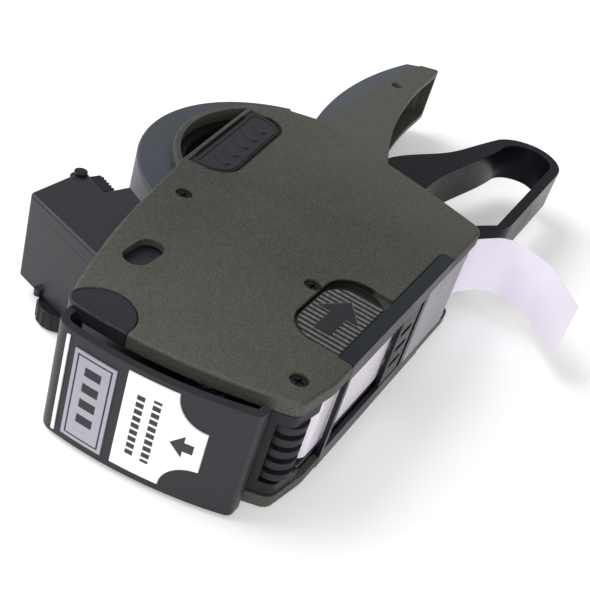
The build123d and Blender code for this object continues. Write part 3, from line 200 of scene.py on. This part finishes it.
class Shader:
    """A material's node tree, filled through one method."""

    def __init__(self, name):
        self.material = bpy.data.materials.new(name)
        self.material.use_nodes = True
        self.tree = self.material.node_tree
        self.tree.nodes.clear()

    def node(self, kind, settings, inputs, output=0):
        """Add a node, set it up and feed its sockets with numbers, colours or other nodes' values."""
        made = self.tree.nodes.new("ShaderNode" + kind)
        for name, value in settings.items():
            setattr(made, name, value)
        for name, value in inputs.items():
            if isinstance(value, Value):
                self.tree.links.new(value.socket, made.inputs[name])
            elif made.inputs[name].type == "RGBA":
                made.inputs[name].default_value = (*value, 1.0)
            else:
                made.inputs[name].default_value = value
        return Value(self, made.outputs[output] if made.outputs else None)

    def place(self):
        """Object coordinates, in metres."""
        return self.node("TexCoord", {}, {}, "Object")

    def axes(self):
        """The three object coordinates, in millimetres."""
        scaled = self.node("VectorMath", {"operation": "SCALE"}, {0: self.place(), "Scale": 1 / millimetre})
        made = self.tree.nodes.new("ShaderNodeSeparateXYZ")
        self.tree.links.new(scaled.socket, made.inputs[0])
        return [Value(self, socket) for socket in made.outputs]

    def noise(self, width, detail=3.0, roughness=0.5):
        """Cloudy noise with features of a given width."""
        inputs = {"Vector": self.place(), "Scale": 1 / width, "Detail": detail, "Roughness": roughness}
        return self.node("TexNoise", {}, inputs)

    def cells(self, width):
        """Rounded cells of a given width, high in the middle of each."""
        inputs = {"Vector": self.place(), "Scale": 1 / width, "Smoothness": 0.6}
        return 1.0 - self.node("TexVoronoi", {"feature": "SMOOTH_F1"}, inputs)

    def ramp(self, value, low, high):
        """A value stretched so that low becomes 0 and high becomes 1."""
        inputs = {"Value": value, "From Min": low, "From Max": high}
        return self.node("MapRange", {"clamp": True}, inputs)

    def mix(self, factor, first, second):
        """A colour between two others."""
        made = self.tree.nodes.new("ShaderNodeMix")
        made.data_type = "RGBA"
        for socket, value in zip((made.inputs[0], made.inputs[6], made.inputs[7]), (factor, first, second)):
            if isinstance(value, Value):
                self.tree.links.new(value.socket, socket)
            elif socket.type == "RGBA":
                socket.default_value = (*value, 1.0)
            else:
                socket.default_value = value
        return Value(self, made.outputs[2])

    def inside(self, value, low, high):
        """1 where a value lies between two numbers, 0 elsewhere."""
        return (value > low) * (value < high)

    def outside_of(self, x, y, half_x, half_y, corner):
        """Distance out of a rounded rectangle about the origin, negative inside it."""
        over_x = abs(x) - (half_x - corner)
        over_y = abs(y) - (half_y - corner)
        out_x = self.node("Math", {"operation": "MAXIMUM"}, {0: over_x, 1: 0.0})
        out_y = self.node("Math", {"operation": "MAXIMUM"}, {0: over_y, 1: 0.0})
        reach = self.node("Math", {"operation": "SQRT"}, {0: out_x * out_x + out_y * out_y})
        larger = self.node("Math", {"operation": "MAXIMUM"}, {0: over_x, 1: over_y})
        within = self.node("Math", {"operation": "MINIMUM"}, {0: larger, 1: 0.0})
        return reach + within - corner

    def rounded(self, radius):
        """A normal that rounds the edges of the mesh."""
        return self.node("Bevel", {"samples": 4}, {"Radius": radius})

    def bump(self, height, depth, normal):
        """A normal roughened by a height."""
        return self.node("Bump", {}, {"Height": height, "Distance": depth, "Strength": 1.0, "Normal": normal})

    def finish(self, base, roughness, normal, **constants):
        """The surface; constants go straight onto the shader's own sockets."""
        inputs = {"Base Color": base, "Roughness": roughness, "Normal": normal}
        for name, value in constants.items():
            inputs[name.replace("_", " ").title().replace("Ior", "IOR")] = value
        surface = self.node("BsdfPrincipled", {}, inputs)
        self.node("OutputMaterial", {}, {"Surface": surface})
        return self.material


def pebbled(name, dark, light, span, seams=()):
    """Moulded plastic with a pebble grain, paler towards the ends of a span along the gun.

    Each seam is a rounded rectangle (centre, half sizes, corner, tilt) that is edged with painted shade.
    """
    sizes = bpy.context.scene.labeler_sizes
    shader = Shader(name)
    x, y, z = shader.axes()
    grain = shader.cells(sizes.pebble)
    worn = shader.noise(0.0022, 4.0, 0.6)
    drift = shader.ramp(abs(x - span[0]) / span[1], 0.2, 1.0)
    cloud = shader.ramp(shader.noise(0.035, 2.0), 0.35, 0.65)
    tone = 0.55 * drift + 0.25 * cloud + 0.2 * shader.ramp(worn, 0.4, 0.62)
    base = shader.mix(tone, dark, light)
    peaks = shader.ramp(grain, 0.45, 0.95)
    # painted highlight: the tops of the pebbles are mixed towards a paler colour
    base = shader.mix(0.30 * peaks, base, tuple(2.4 * part for part in light))
    for (centre_x, centre_y), (half_x, half_y), corner, tilt in seams:
        along = (x - centre_x) * cos(tilt) + (y - centre_y) * sin(tilt)
        up = (y - centre_y) * cos(tilt) - (x - centre_x) * sin(tilt)
        distance = shader.outside_of(along, up, half_x, half_y, corner)
        # painted shade: the cover is darkened to near black within and just outside each seam's outline
        seam_shade = 1.0 - shader.ramp(distance + 0.3 * worn, 0.30, 0.80)
        base = shader.mix(seam_shade, base, tuple(0.08 * part for part in dark))
    rough = 0.50 + 0.14 * worn - 0.12 * peaks
    height = grain + 0.5 * worn
    normal = shader.bump(height, sizes.pebble_depth, shader.rounded(sizes.edge))
    return shader.finish(base, rough, normal, specular_ior_level=0.42)


def smooth_moulding(name, tone, rough, lift=1.35, gloss=0.32, dark_within=None):
    """Plain moulded plastic with a faint orange-peel and handling marks.

    Inside the radius dark_within about the roll's axis the plastic is painted near black, as painted shadow
    inside the housing.
    """
    sizes = bpy.context.scene.labeler_sizes
    shader = Shader(name)
    peel = shader.noise(0.0012, 3.0)
    handled = shader.ramp(shader.noise(0.018, 4.0, 0.6), 0.38, 0.66)
    base = shader.mix(0.5 * handled + 0.2 * peel, tone, tuple(min(1.0, lift * part) for part in tone))
    if dark_within is not None:
        x, y, z = shader.axes()
        out = shader.node("Math", {"operation": "SQRT"}, {0: x * x + y * y})
        # painted shadow: within this radius of the roll's axis the housing is darkened to near black
        base = shader.mix(out < dark_within, base, tuple(0.06 * part for part in tone))
    roughness = rough + 0.09 * handled + 0.05 * peel
    normal = shader.bump(peel, sizes.fine_depth, shader.rounded(sizes.edge))
    return shader.finish(base, roughness, normal, specular_ior_level=gloss)


def brushed_steel(name, tone):
    """Steel with fine drawn lines along the gun."""
    sizes = bpy.context.scene.labeler_sizes
    shader = Shader(name)
    stretched = shader.node(
        "Mapping", {}, {"Vector": shader.place(), "Scale": (300.0, 4000.0, 2600.0)}
    )
    lines = shader.node("TexNoise", {}, {"Vector": stretched, "Scale": 1.0, "Detail": 3.0})
    smear = shader.noise(0.01, 3.0)
    base = shader.mix(lines, tuple(0.8 * part for part in tone), tone)
    normal = shader.bump(lines, sizes.fine_depth, shader.rounded(0.5 * sizes.edge))
    return shader.finish(base, 0.26 + 0.12 * lines + 0.1 * smear, normal, metallic=1.0)


def paper(name, tone, gloss):
    """Coated paper with faint fibres."""
    shader = Shader(name)
    fibres = shader.noise(0.0007, 5.0, 0.7)
    cloud = shader.noise(0.02, 2.0)
    base = shader.mix(0.35 * fibres + 0.3 * cloud, tone, tuple(0.9 * part for part in tone))
    normal = shader.bump(fibres, 0.000008, shader.rounded(0.0001))
    return shader.finish(base, gloss + 0.1 * fibres, normal)


def wound_roll(name, tone):
    """A paper roll, whose ends show the edges of its turns."""
    shader = Shader(name)
    x, y, z = shader.axes()
    out = shader.node("Math", {"operation": "SQRT"}, {0: x * x + y * y})
    turns = shader.node("Math", {"operation": "SINE"}, {0: out * 14.0})
    wobble = shader.noise(0.004, 3.0)
    base = shader.mix(shader.ramp(turns + wobble, 0.2, 1.6), tone, tuple(0.72 * part for part in tone))
    normal = shader.bump(turns, 0.00003, shader.rounded(0.0002))
    return shader.finish(base, 0.62 + 0.1 * wobble, normal)


def rubber(name, tone):
    """Matt rubber with a powdery bloom."""
    shader = Shader(name)
    bloom = shader.ramp(shader.noise(0.004, 5.0, 0.7), 0.4, 0.7)
    skin = shader.noise(0.0006, 2.0)
    base = shader.mix(0.6 * bloom, tone, tuple(2.2 * part + 0.01 for part in tone))
    normal = shader.bump(skin, 0.00003, shader.rounded(0.0003))
    return shader.finish(base, 0.62 + 0.16 * bloom, normal)


def foam(name, tone):
    """Open foam soaked with ink."""
    shader = Shader(name)
    pores = shader.cells(0.0006)
    wet = shader.noise(0.005, 3.0)
    base = shader.mix(pores, tuple(0.3 * part for part in tone), tone)
    normal = shader.bump(pores, 0.0002, shader.rounded(0.0004))
    return shader.finish(base, 0.35 + 0.3 * wet, normal)


def printed_card(name, tone, ink):
    """The white card: grey bars in place of words, and an arrow towards the top of the gun."""
    shader = Shader(name)
    low, high = (Vector(corner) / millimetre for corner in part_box("instruction_card"))
    x, y, z = shader.axes()
    across = z - (low.z + high.z) / 2
    # the arrow points up from the card's lower edge
    arrow_y = low.y + 5.0
    shaft = (abs(across) < 1.5) * shader.inside(y, arrow_y - 2.6, arrow_y)
    rise = arrow_y + 3.6 - y
    tip = shader.inside(y, arrow_y, arrow_y + 3.6) * (abs(across) < rise)
    marks = shaft + tip
    # two rows of bars run across the card's upper half, each starting a little further on
    for row, drop in enumerate((4.6, 9.0)):
        in_row = abs(y - (high.y - drop)) < 1.1
        beat = shader.node("Math", {"operation": "FRACT"}, {0: (across + 40.0 + row) / 2.3})
        marks = marks + in_row * (beat < 0.68) * (abs(across) < 10.5)
    fibres = shader.noise(0.0008, 4.0, 0.7)
    sheet = shader.mix(0.3 * fibres, tone, tuple(0.9 * part for part in tone))
    mark_limit = shader.node("Clamp", {}, {"Value": marks})
    base = shader.mix(mark_limit, sheet, ink)
    normal = shader.bump(fibres, 0.000006, shader.rounded(0.0001))
    return shader.finish(base, 0.34 + 0.1 * fibres, normal)


def blank_nameplate(name, tone, border):
    """A lavender-grey plate with plain bars inside a thin dark line."""
    shader = Shader(name)
    low, high = (Vector(corner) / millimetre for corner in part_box("nameplate"))
    x, y, z = shader.axes()
    half_y = (high.y - low.y) / 2
    half_z = (high.z - low.z) / 2
    away_y = abs(y - (low.y + high.y) / 2)
    away_z = abs(z - (low.z + high.z) / 2)
    edge = 1.0 - (away_y < half_y - 1.0) * (away_z < half_z - 1.0)
    inner = (away_y < half_y - 1.5) * (away_z < half_z - 1.5)
    frame_line = 1.0 - edge - inner
    brushed = shader.noise(0.0009, 4.0, 0.6)
    sheen = shader.ramp(z, low.z, high.z)
    plate = shader.mix(0.5 * sheen + 0.3 * brushed, tone, tuple(0.78 * part for part in tone))
    stripes = shader.node("Math", {"operation": "FRACT"}, {0: z / 5.2})
    bars = (away_y < half_y - 3.8) * (away_z < half_z - 4.0) * (stripes < 0.55)
    base = shader.mix(shader.node("Clamp", {}, {"Value": frame_line + bars}), plate, border)
    normal = shader.bump(brushed, 0.000006, shader.rounded(0.0001))
    return shader.finish(base, 0.36 + 0.1 * brushed, normal, metallic=0.25)


def ribbed_pad(name, tone, dark, rib_base):
    """Latch pad: worn rib tops, with painted shade between the ribs, below a height on either side."""
    sizes = bpy.context.scene.labeler_sizes
    shader = Shader(name)
    x, y, z = shader.axes()
    wear = shader.ramp(shader.noise(0.0012, 4.0, 0.7), 0.36, 0.66)
    peel = shader.noise(0.0008, 2.0)
    half_height = (cover_high.z / millimetre) / 2
    up = shader.ramp(abs(z - half_height), rib_base, rib_base + sizes.rib_height / millimetre)
    # painted shade: below the rib tops the pad takes the dark colour
    base = shader.mix(up * (0.45 + 0.55 * wear), dark, tone)
    normal = shader.bump(peel, sizes.fine_depth, shader.rounded(0.0002))
    return shader.finish(base, 0.42 + 0.16 * wear, normal)


def give(material, *names):
    """Put a material on CAD nodes."""
    for name in names:
        slots = nodes[name].data.materials
        slots.clear()
        slots.append(material)


def object_from(bm, name, body, material, join=0.00001):
    """Turn a bmesh into a finished piece that rides on a body."""
    bmesh.ops.remove_doubles(bm, verts=bm.verts, dist=join)
    bmesh.ops.recalc_face_normals(bm, faces=bm.faces)
    mesh = bpy.data.meshes.new(name)
    bm.to_mesh(mesh)
    bm.free()
    piece = bpy.data.objects.new(name, mesh)
    bpy.context.scene.collection.objects.link(piece)
    mesh.materials.append(material)
    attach(piece, body)
    return piece


def badge_outline(inset):
    """Centre, half sizes and corner of the badge, in millimetres, moved in from its pocket's walls."""
    sizes = bpy.context.scene.labeler_sizes
    tilt = sizes.badge_tilt
    aside = 0.5
    drop = sizes.badge_drop / millimetre
    centre = (aside * cos(tilt) - drop * sin(tilt), aside * sin(tilt) + drop * cos(tilt))
    half = (sizes.badge_length / millimetre / 2 - inset, sizes.badge_width / millimetre / 2 - inset)
    return centre, half, sizes.badge_corner / millimetre - inset


# ---- operators: one for each group of pieces ----


class LABELER_OT_covers(bpy.types.Operator):
    """Finish the pebbled side covers and the handle's sides"""

    bl_idname = "labeler.covers"
    bl_label = "Covers and Handle Sides"

    def seams(self):
        """The outlines of the latch recess and the badge pocket, in millimetres."""
        sizes = bpy.context.scene.labeler_sizes
        low, high = (Vector(corner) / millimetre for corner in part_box("left_latch_pad"))
        half_length = sizes.recess_length / millimetre / 2
        gap = sizes.pad_gap / millimetre
        recess_centre = (low.x + half_length - gap, (low.y + high.y) / 2)
        recess_half = (half_length, (high.y - low.y) / 2 + gap)
        badge_centre, badge_half, badge_corner = badge_outline(0.0)
        return [
            (recess_centre, recess_half, sizes.recess_corner / millimetre, 0.0),
            (badge_centre, badge_half, badge_corner, sizes.badge_tilt),
        ]

    def execute(self, context):
        colours = context.scene.labeler_colours
        middle = (cover_low.x + cover_high.x) / 2 / millimetre
        half = (cover_high.x - cover_low.x) / 2 / millimetre
        light = tuple(colours.cover_light)
        give(
            pebbled("cover grain", tuple(colours.cover), light, (middle, half), self.seams()),
            "left_cover", "right_cover",
        )
        give(
            pebbled("handle grain", tuple(colours.handle), light, (90.0, 60.0)),
            "handle_left_shell", "handle_right_shell",
        )
        return {"FINISHED"}


class LABELER_OT_mouldings(bpy.types.Operator):
    """Finish the smooth grey mouldings: roll housing, print head, front and spine"""

    bl_idname = "labeler.mouldings"
    bl_label = "Smooth Mouldings"

    def rim(self, name, level, rise, material):
        """A raised rim round a badge, straight above and rounded below."""
        sizes = bpy.context.scene.labeler_sizes
        (centre_x, centre_y), (half_x, half_y), corner = badge_outline(sizes.rim_inset / millimetre)
        bm = bmesh.new()
        corners = ((-half_x, -half_y), (half_x, -half_y), (half_x, half_y), (-half_x, half_y))
        face = bm.faces.new([bm.verts.new((x, y, 0.0)) for x, y in corners])
        lower = [vert for vert in bm.verts if vert.co.y < 0.0]
        bmesh.ops.bevel(
            bm, geom=lower, offset=corner, segments=8, profile=0.5, affect="VERTICES", material=-1,
            offset_type="OFFSET",
        )
        face = bm.faces[:][0]
        bmesh.ops.inset_region(
            bm, faces=[face], thickness=sizes.rim_width / millimetre, use_boundary=True, use_even_offset=True
        )
        bmesh.ops.delete(bm, geom=[face], context="FACES")
        raised = bmesh.ops.extrude_face_region(bm, geom=bm.faces[:])
        tops = [part for part in raised["geom"] if isinstance(part, bmesh.types.BMVert)]
        bmesh.ops.translate(bm, verts=tops, vec=(0.0, 0.0, rise / millimetre))
        bmesh.ops.rotate(bm, verts=bm.verts, matrix=Matrix.Rotation(sizes.badge_tilt, 3, "Z"))
        bmesh.ops.translate(bm, verts=bm.verts, vec=(centre_x, centre_y, level / millimetre))
        bmesh.ops.scale(bm, verts=bm.verts, vec=(millimetre, millimetre, millimetre))
        object_from(bm, name, "housing", material)

    def execute(self, context):
        colours = context.scene.labeler_colours
        smooth = tuple(colours.smooth)
        housing = tuple(2.6 * part for part in smooth)
        drum_shadow = context.scene.labeler_sizes.drum_shadow / millimetre
        give(smooth_moulding("housing moulding", housing, 0.42, dark_within=drum_shadow), "roll_housing")
        spine = tuple(3.4 * part for part in smooth)
        give(smooth_moulding("spine moulding", spine, 0.36), "handle_spine")
        give(smooth_moulding("head moulding", smooth, 0.36), "head_housing", "head_lid")
        front = smooth_moulding("front moulding", tuple(0.75 * part for part in smooth), 0.33)
        give(front, "front_plate", "brow_panel", "left_corner_cap", "right_corner_cap")
        badge = smooth_moulding("badge moulding", tuple(0.8 * part for part in smooth), 0.40)
        give(badge, "left_badge", "right_badge")
        sizes = context.scene.labeler_sizes
        top = cover_high.z - sizes.badge_sink
        self.rim("left_badge_rim", top, sizes.rim_height, badge)
        self.rim("right_badge_rim", cover_high.z - top, -sizes.rim_height, badge)
        return {"FINISHED"}


class LABELER_OT_front(bpy.types.Operator):
    """Finish the nameplate, card and stripe on the front plate"""

    bl_idname = "labeler.front"
    bl_label = "Front Labels"

    def execute(self, context):
        colours = context.scene.labeler_colours
        ink = tuple(colours.print)
        give(blank_nameplate("nameplate face", tuple(colours.nameplate), ink), "nameplate")
        give(printed_card("card face", tuple(colours.card), ink), "instruction_card")
        give(paper("stripe paper", tuple(colours.card), 0.35), "trim_strip")
        return {"FINISHED"}


class LABELER_OT_moving(bpy.types.Operator):
    """Finish the trigger, knob, release tab, latches and base door"""

    bl_idname = "labeler.moving"
    bl_label = "Trigger, Knob, Latches and Door"

    def arrow(self, context, name, middle, turn, body, material):
        """A thin raised arrow on a latch pad, which points back along the gun."""
        sizes = context.scene.labeler_sizes
        half = sizes.arrow_length / 2
        shaft = sizes.arrow_width * 0.2
        neck = half * 0.08
        corners = [
            (-half, -shaft), (neck, -shaft), (neck, -sizes.arrow_width / 2), (half, 0.0),
            (neck, sizes.arrow_width / 2), (neck, shaft), (-half, shaft),
        ]
        bm = bmesh.new()
        ring = [bm.verts.new(middle + Vector((x, y, 0.0))) for x, y in corners]
        face = bm.faces.new(ring)
        raised = bmesh.ops.extrude_face_region(bm, geom=[face])
        tops = [part for part in raised["geom"] if isinstance(part, bmesh.types.BMVert)]
        bmesh.ops.translate(bm, verts=tops, vec=(0.0, 0.0, turn * sizes.arrow_height))
        object_from(bm, name, body, material)

    def execute(self, context):
        colours = context.scene.labeler_colours
        sizes = context.scene.labeler_sizes
        black = tuple(colours.black)
        give(smooth_moulding("trigger gloss", black, 0.22, gloss=0.10), "trigger")
        give(
            smooth_moulding("black moulding", black, 0.36),
            "selector_knob", "release_tab", "head_cap", "door_bar",
        )
        # the right side mirrors the left about the gun's middle
        half_height = cover_high.z / 2
        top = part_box("left_latch_pad")[1][2]
        rib_base = (top - half_height - sizes.rib_height) / millimetre
        # the black plastic colour also serves as the painted shade between the latch ribs
        give(
            ribbed_pad("latch ribs", tuple(colours.rib), black, rib_base),
            "left_latch_pad", "right_latch_pad",
        )
        inlay = smooth_moulding("arrow inlay", tuple(0.7 * part for part in colours.smooth), 0.34)
        for side, face, turn in (("left", top, 1), ("right", 2 * half_height - top, -1)):
            low, high = (Vector(corner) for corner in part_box(side + "_latch_pad"))
            middle = Vector((low.x + sizes.pad_length / 2, (low.y + high.y) / 2, face))
            self.arrow(context, side + "_latch_arrow", middle, turn, side + "_latch", inlay)
        give(smooth_moulding("door moulding", tuple(colours.rail), 0.30), "base_door")
        give(smooth_moulding("pale moulding", tuple(colours.pale), 0.42, 0.85), "door_plate")
        return {"FINISHED"}


class LABELER_OT_works(bpy.types.Operator):
    """Finish the steel works, rollers, paper and inner mouldings"""

    bl_idname = "labeler.works"
    bl_label = "Inner Works"

    def execute(self, context):
        colours = context.scene.labeler_colours
        give(
            brushed_steel("steel", tuple(colours.steel)),
            "left_bearing_plate", "right_bearing_plate", "cover_pillars", "platen",
            "main_pivot_pin", "door_hinge_stubs", "feed_axle", "applicator_axle", "pawl_pin",
            "roll_spindle", "print_arm", "ink_axle", "selector_shaft", "trigger_spring",
            "left_latch_spring", "right_latch_spring", "holdback_pawl",
        )
        give(brushed_steel("screw heads", tuple(colours.screw)), "left_cover_screws", "right_cover_screws")
        give(
            smooth_moulding("inner moulding", tuple(colours.black), 0.42),
            "nose_frame", "feed_wheel", "ratchet_wheel", "roll_spool", "ink_cartridge", "type_block",
        )
        give(rubber("roller rubber", tuple(colours.black)), "applicator_roller", "print_bands")
        give(foam("ink foam", tuple(colours.ink)), "ink_roller")
        give(paper("label paper", tuple(colours.card), 0.45), "label_web")
        give(wound_roll("label roll", tuple(colours.card)), "label_roll")
        give(paper("backing paper", tuple(colours.backing), 0.30), "backing_strip")
        give(wound_roll("core board", tuple(colours.board)), "roll_core")
        return {"FINISHED"}


class LABELER_OT_stage(bpy.types.Operator):
    """Add the floor, the lights, the surrounding light and the camera"""

    bl_idname = "labeler.stage"
    bl_label = "Floor, Lights and Camera"

    def soft_light(self, context, name, place, size, power):
        """A square lamp that faces the gun."""
        lamp = bpy.data.lights.new(name, "AREA")
        lamp.size = size
        lamp.energy = power
        holder = bpy.data.objects.new(name, lamp)
        holder.location = place
        holder.rotation_euler = (-Vector(place)).to_track_quat("-Z", "Y").to_euler()
        context.scene.collection.objects.link(holder)

    def execute(self, context):
        view = context.scene.labeler_view
        half = context.scene.labeler_sizes.floor_size / 2
        bm = bmesh.new()
        bmesh.ops.create_grid(bm, x_segments=1, y_segments=1, size=half)
        bmesh.ops.translate(bm, verts=bm.verts, vec=(0.0, 0.0, floor_height))
        mesh = bpy.data.meshes.new("floor")
        bm.to_mesh(mesh)
        bm.free()
        floor = bpy.data.objects.new("floor", mesh)
        context.scene.collection.objects.link(floor)
        shader = Shader("floor")
        cloud = shader.noise(0.4, 2.0)
        base = shader.mix(cloud, (0.90, 0.90, 0.90), (0.93, 0.93, 0.93))
        flat = shader.node("NewGeometry", {}, {}, "Normal")
        glow = {"emission_color": (1.0, 1.0, 1.0), "emission_strength": view.floor_glow}
        mesh.materials.append(shader.finish(base, 0.9, flat, specular_ior_level=0.1, **glow))

        self.soft_light(context, "key", (-0.25, 0.75, 0.85), 0.9, view.key_power)
        self.soft_light(context, "fill", (-0.85, -0.45, 0.55), 0.8, view.fill_power)

        world = bpy.data.worlds.new("studio")
        world.use_nodes = True
        backdrop = world.node_tree.nodes["Background"]
        backdrop.inputs["Color"].default_value = (1.0, 1.0, 1.0, 1.0)
        backdrop.inputs["Strength"].default_value = view.sky
        context.scene.world = world

        camera = bpy.data.cameras.new("camera")
        camera.sensor_width = 36.0
        camera.lens = view.lens
        camera.clip_start = 0.01
        level = cos(view.elevation)
        look = Vector((cos(view.heading) * level, sin(view.heading) * level, -sin(view.elevation)))
        holder = bpy.data.objects.new("camera", camera)
        turn = look.to_track_quat("-Z", "Y").to_matrix().to_4x4() @ Matrix.Rotation(view.roll, 4, "Z")
        holder.matrix_world = Matrix.Translation(Vector(view.aim) - look * view.distance) @ turn
        context.scene.collection.objects.link(holder)
        context.scene.camera = holder
        context.scene.view_settings.view_transform = "Standard"
        return {"FINISHED"}


operators = (
    LABELER_OT_stage,
    LABELER_OT_covers,
    LABELER_OT_mouldings,
    LABELER_OT_front,
    LABELER_OT_moving,
    LABELER_OT_works,
)


class LABELER_PT_panel(bpy.types.Panel):
    """Lists the gun's operators with its sizes and colours"""

    bl_label = "Labeling Gun"
    bl_space_type = "VIEW_3D"
    bl_region_type = "UI"
    bl_category = "Labeler"

    def draw(self, context):
        for operator in operators:
            self.layout.operator(operator.bl_idname)
        for group in groups:
            settings = getattr(context.scene, group)
            for name in settings.__annotations__:
                self.layout.prop(settings, name)


groups = {
    "labeler_colours": LabelerColours,
    "labeler_sizes": LabelerSizes,
    "labeler_view": LabelerView,
}


def register():
    for group in groups.values():
        bpy.utils.register_class(group)
    for name, group in groups.items():
        setattr(bpy.types.Scene, name, PointerProperty(type=group))
    for operator in operators:
        bpy.utils.register_class(operator)
    bpy.utils.register_class(LABELER_PT_panel)


def unregister():
    bpy.utils.unregister_class(LABELER_PT_panel)
    for operator in reversed(operators):
        bpy.utils.unregister_class(operator)
    for name in groups:
        delattr(bpy.types.Scene, name)
    for group in reversed(list(groups.values())):
        bpy.utils.unregister_class(group)


def main():
    register()
    for operator in operators:
        family, name = operator.bl_idname.split(".")
        getattr(getattr(bpy.ops, family), name)()


if __name__ == "__main__":
    main()
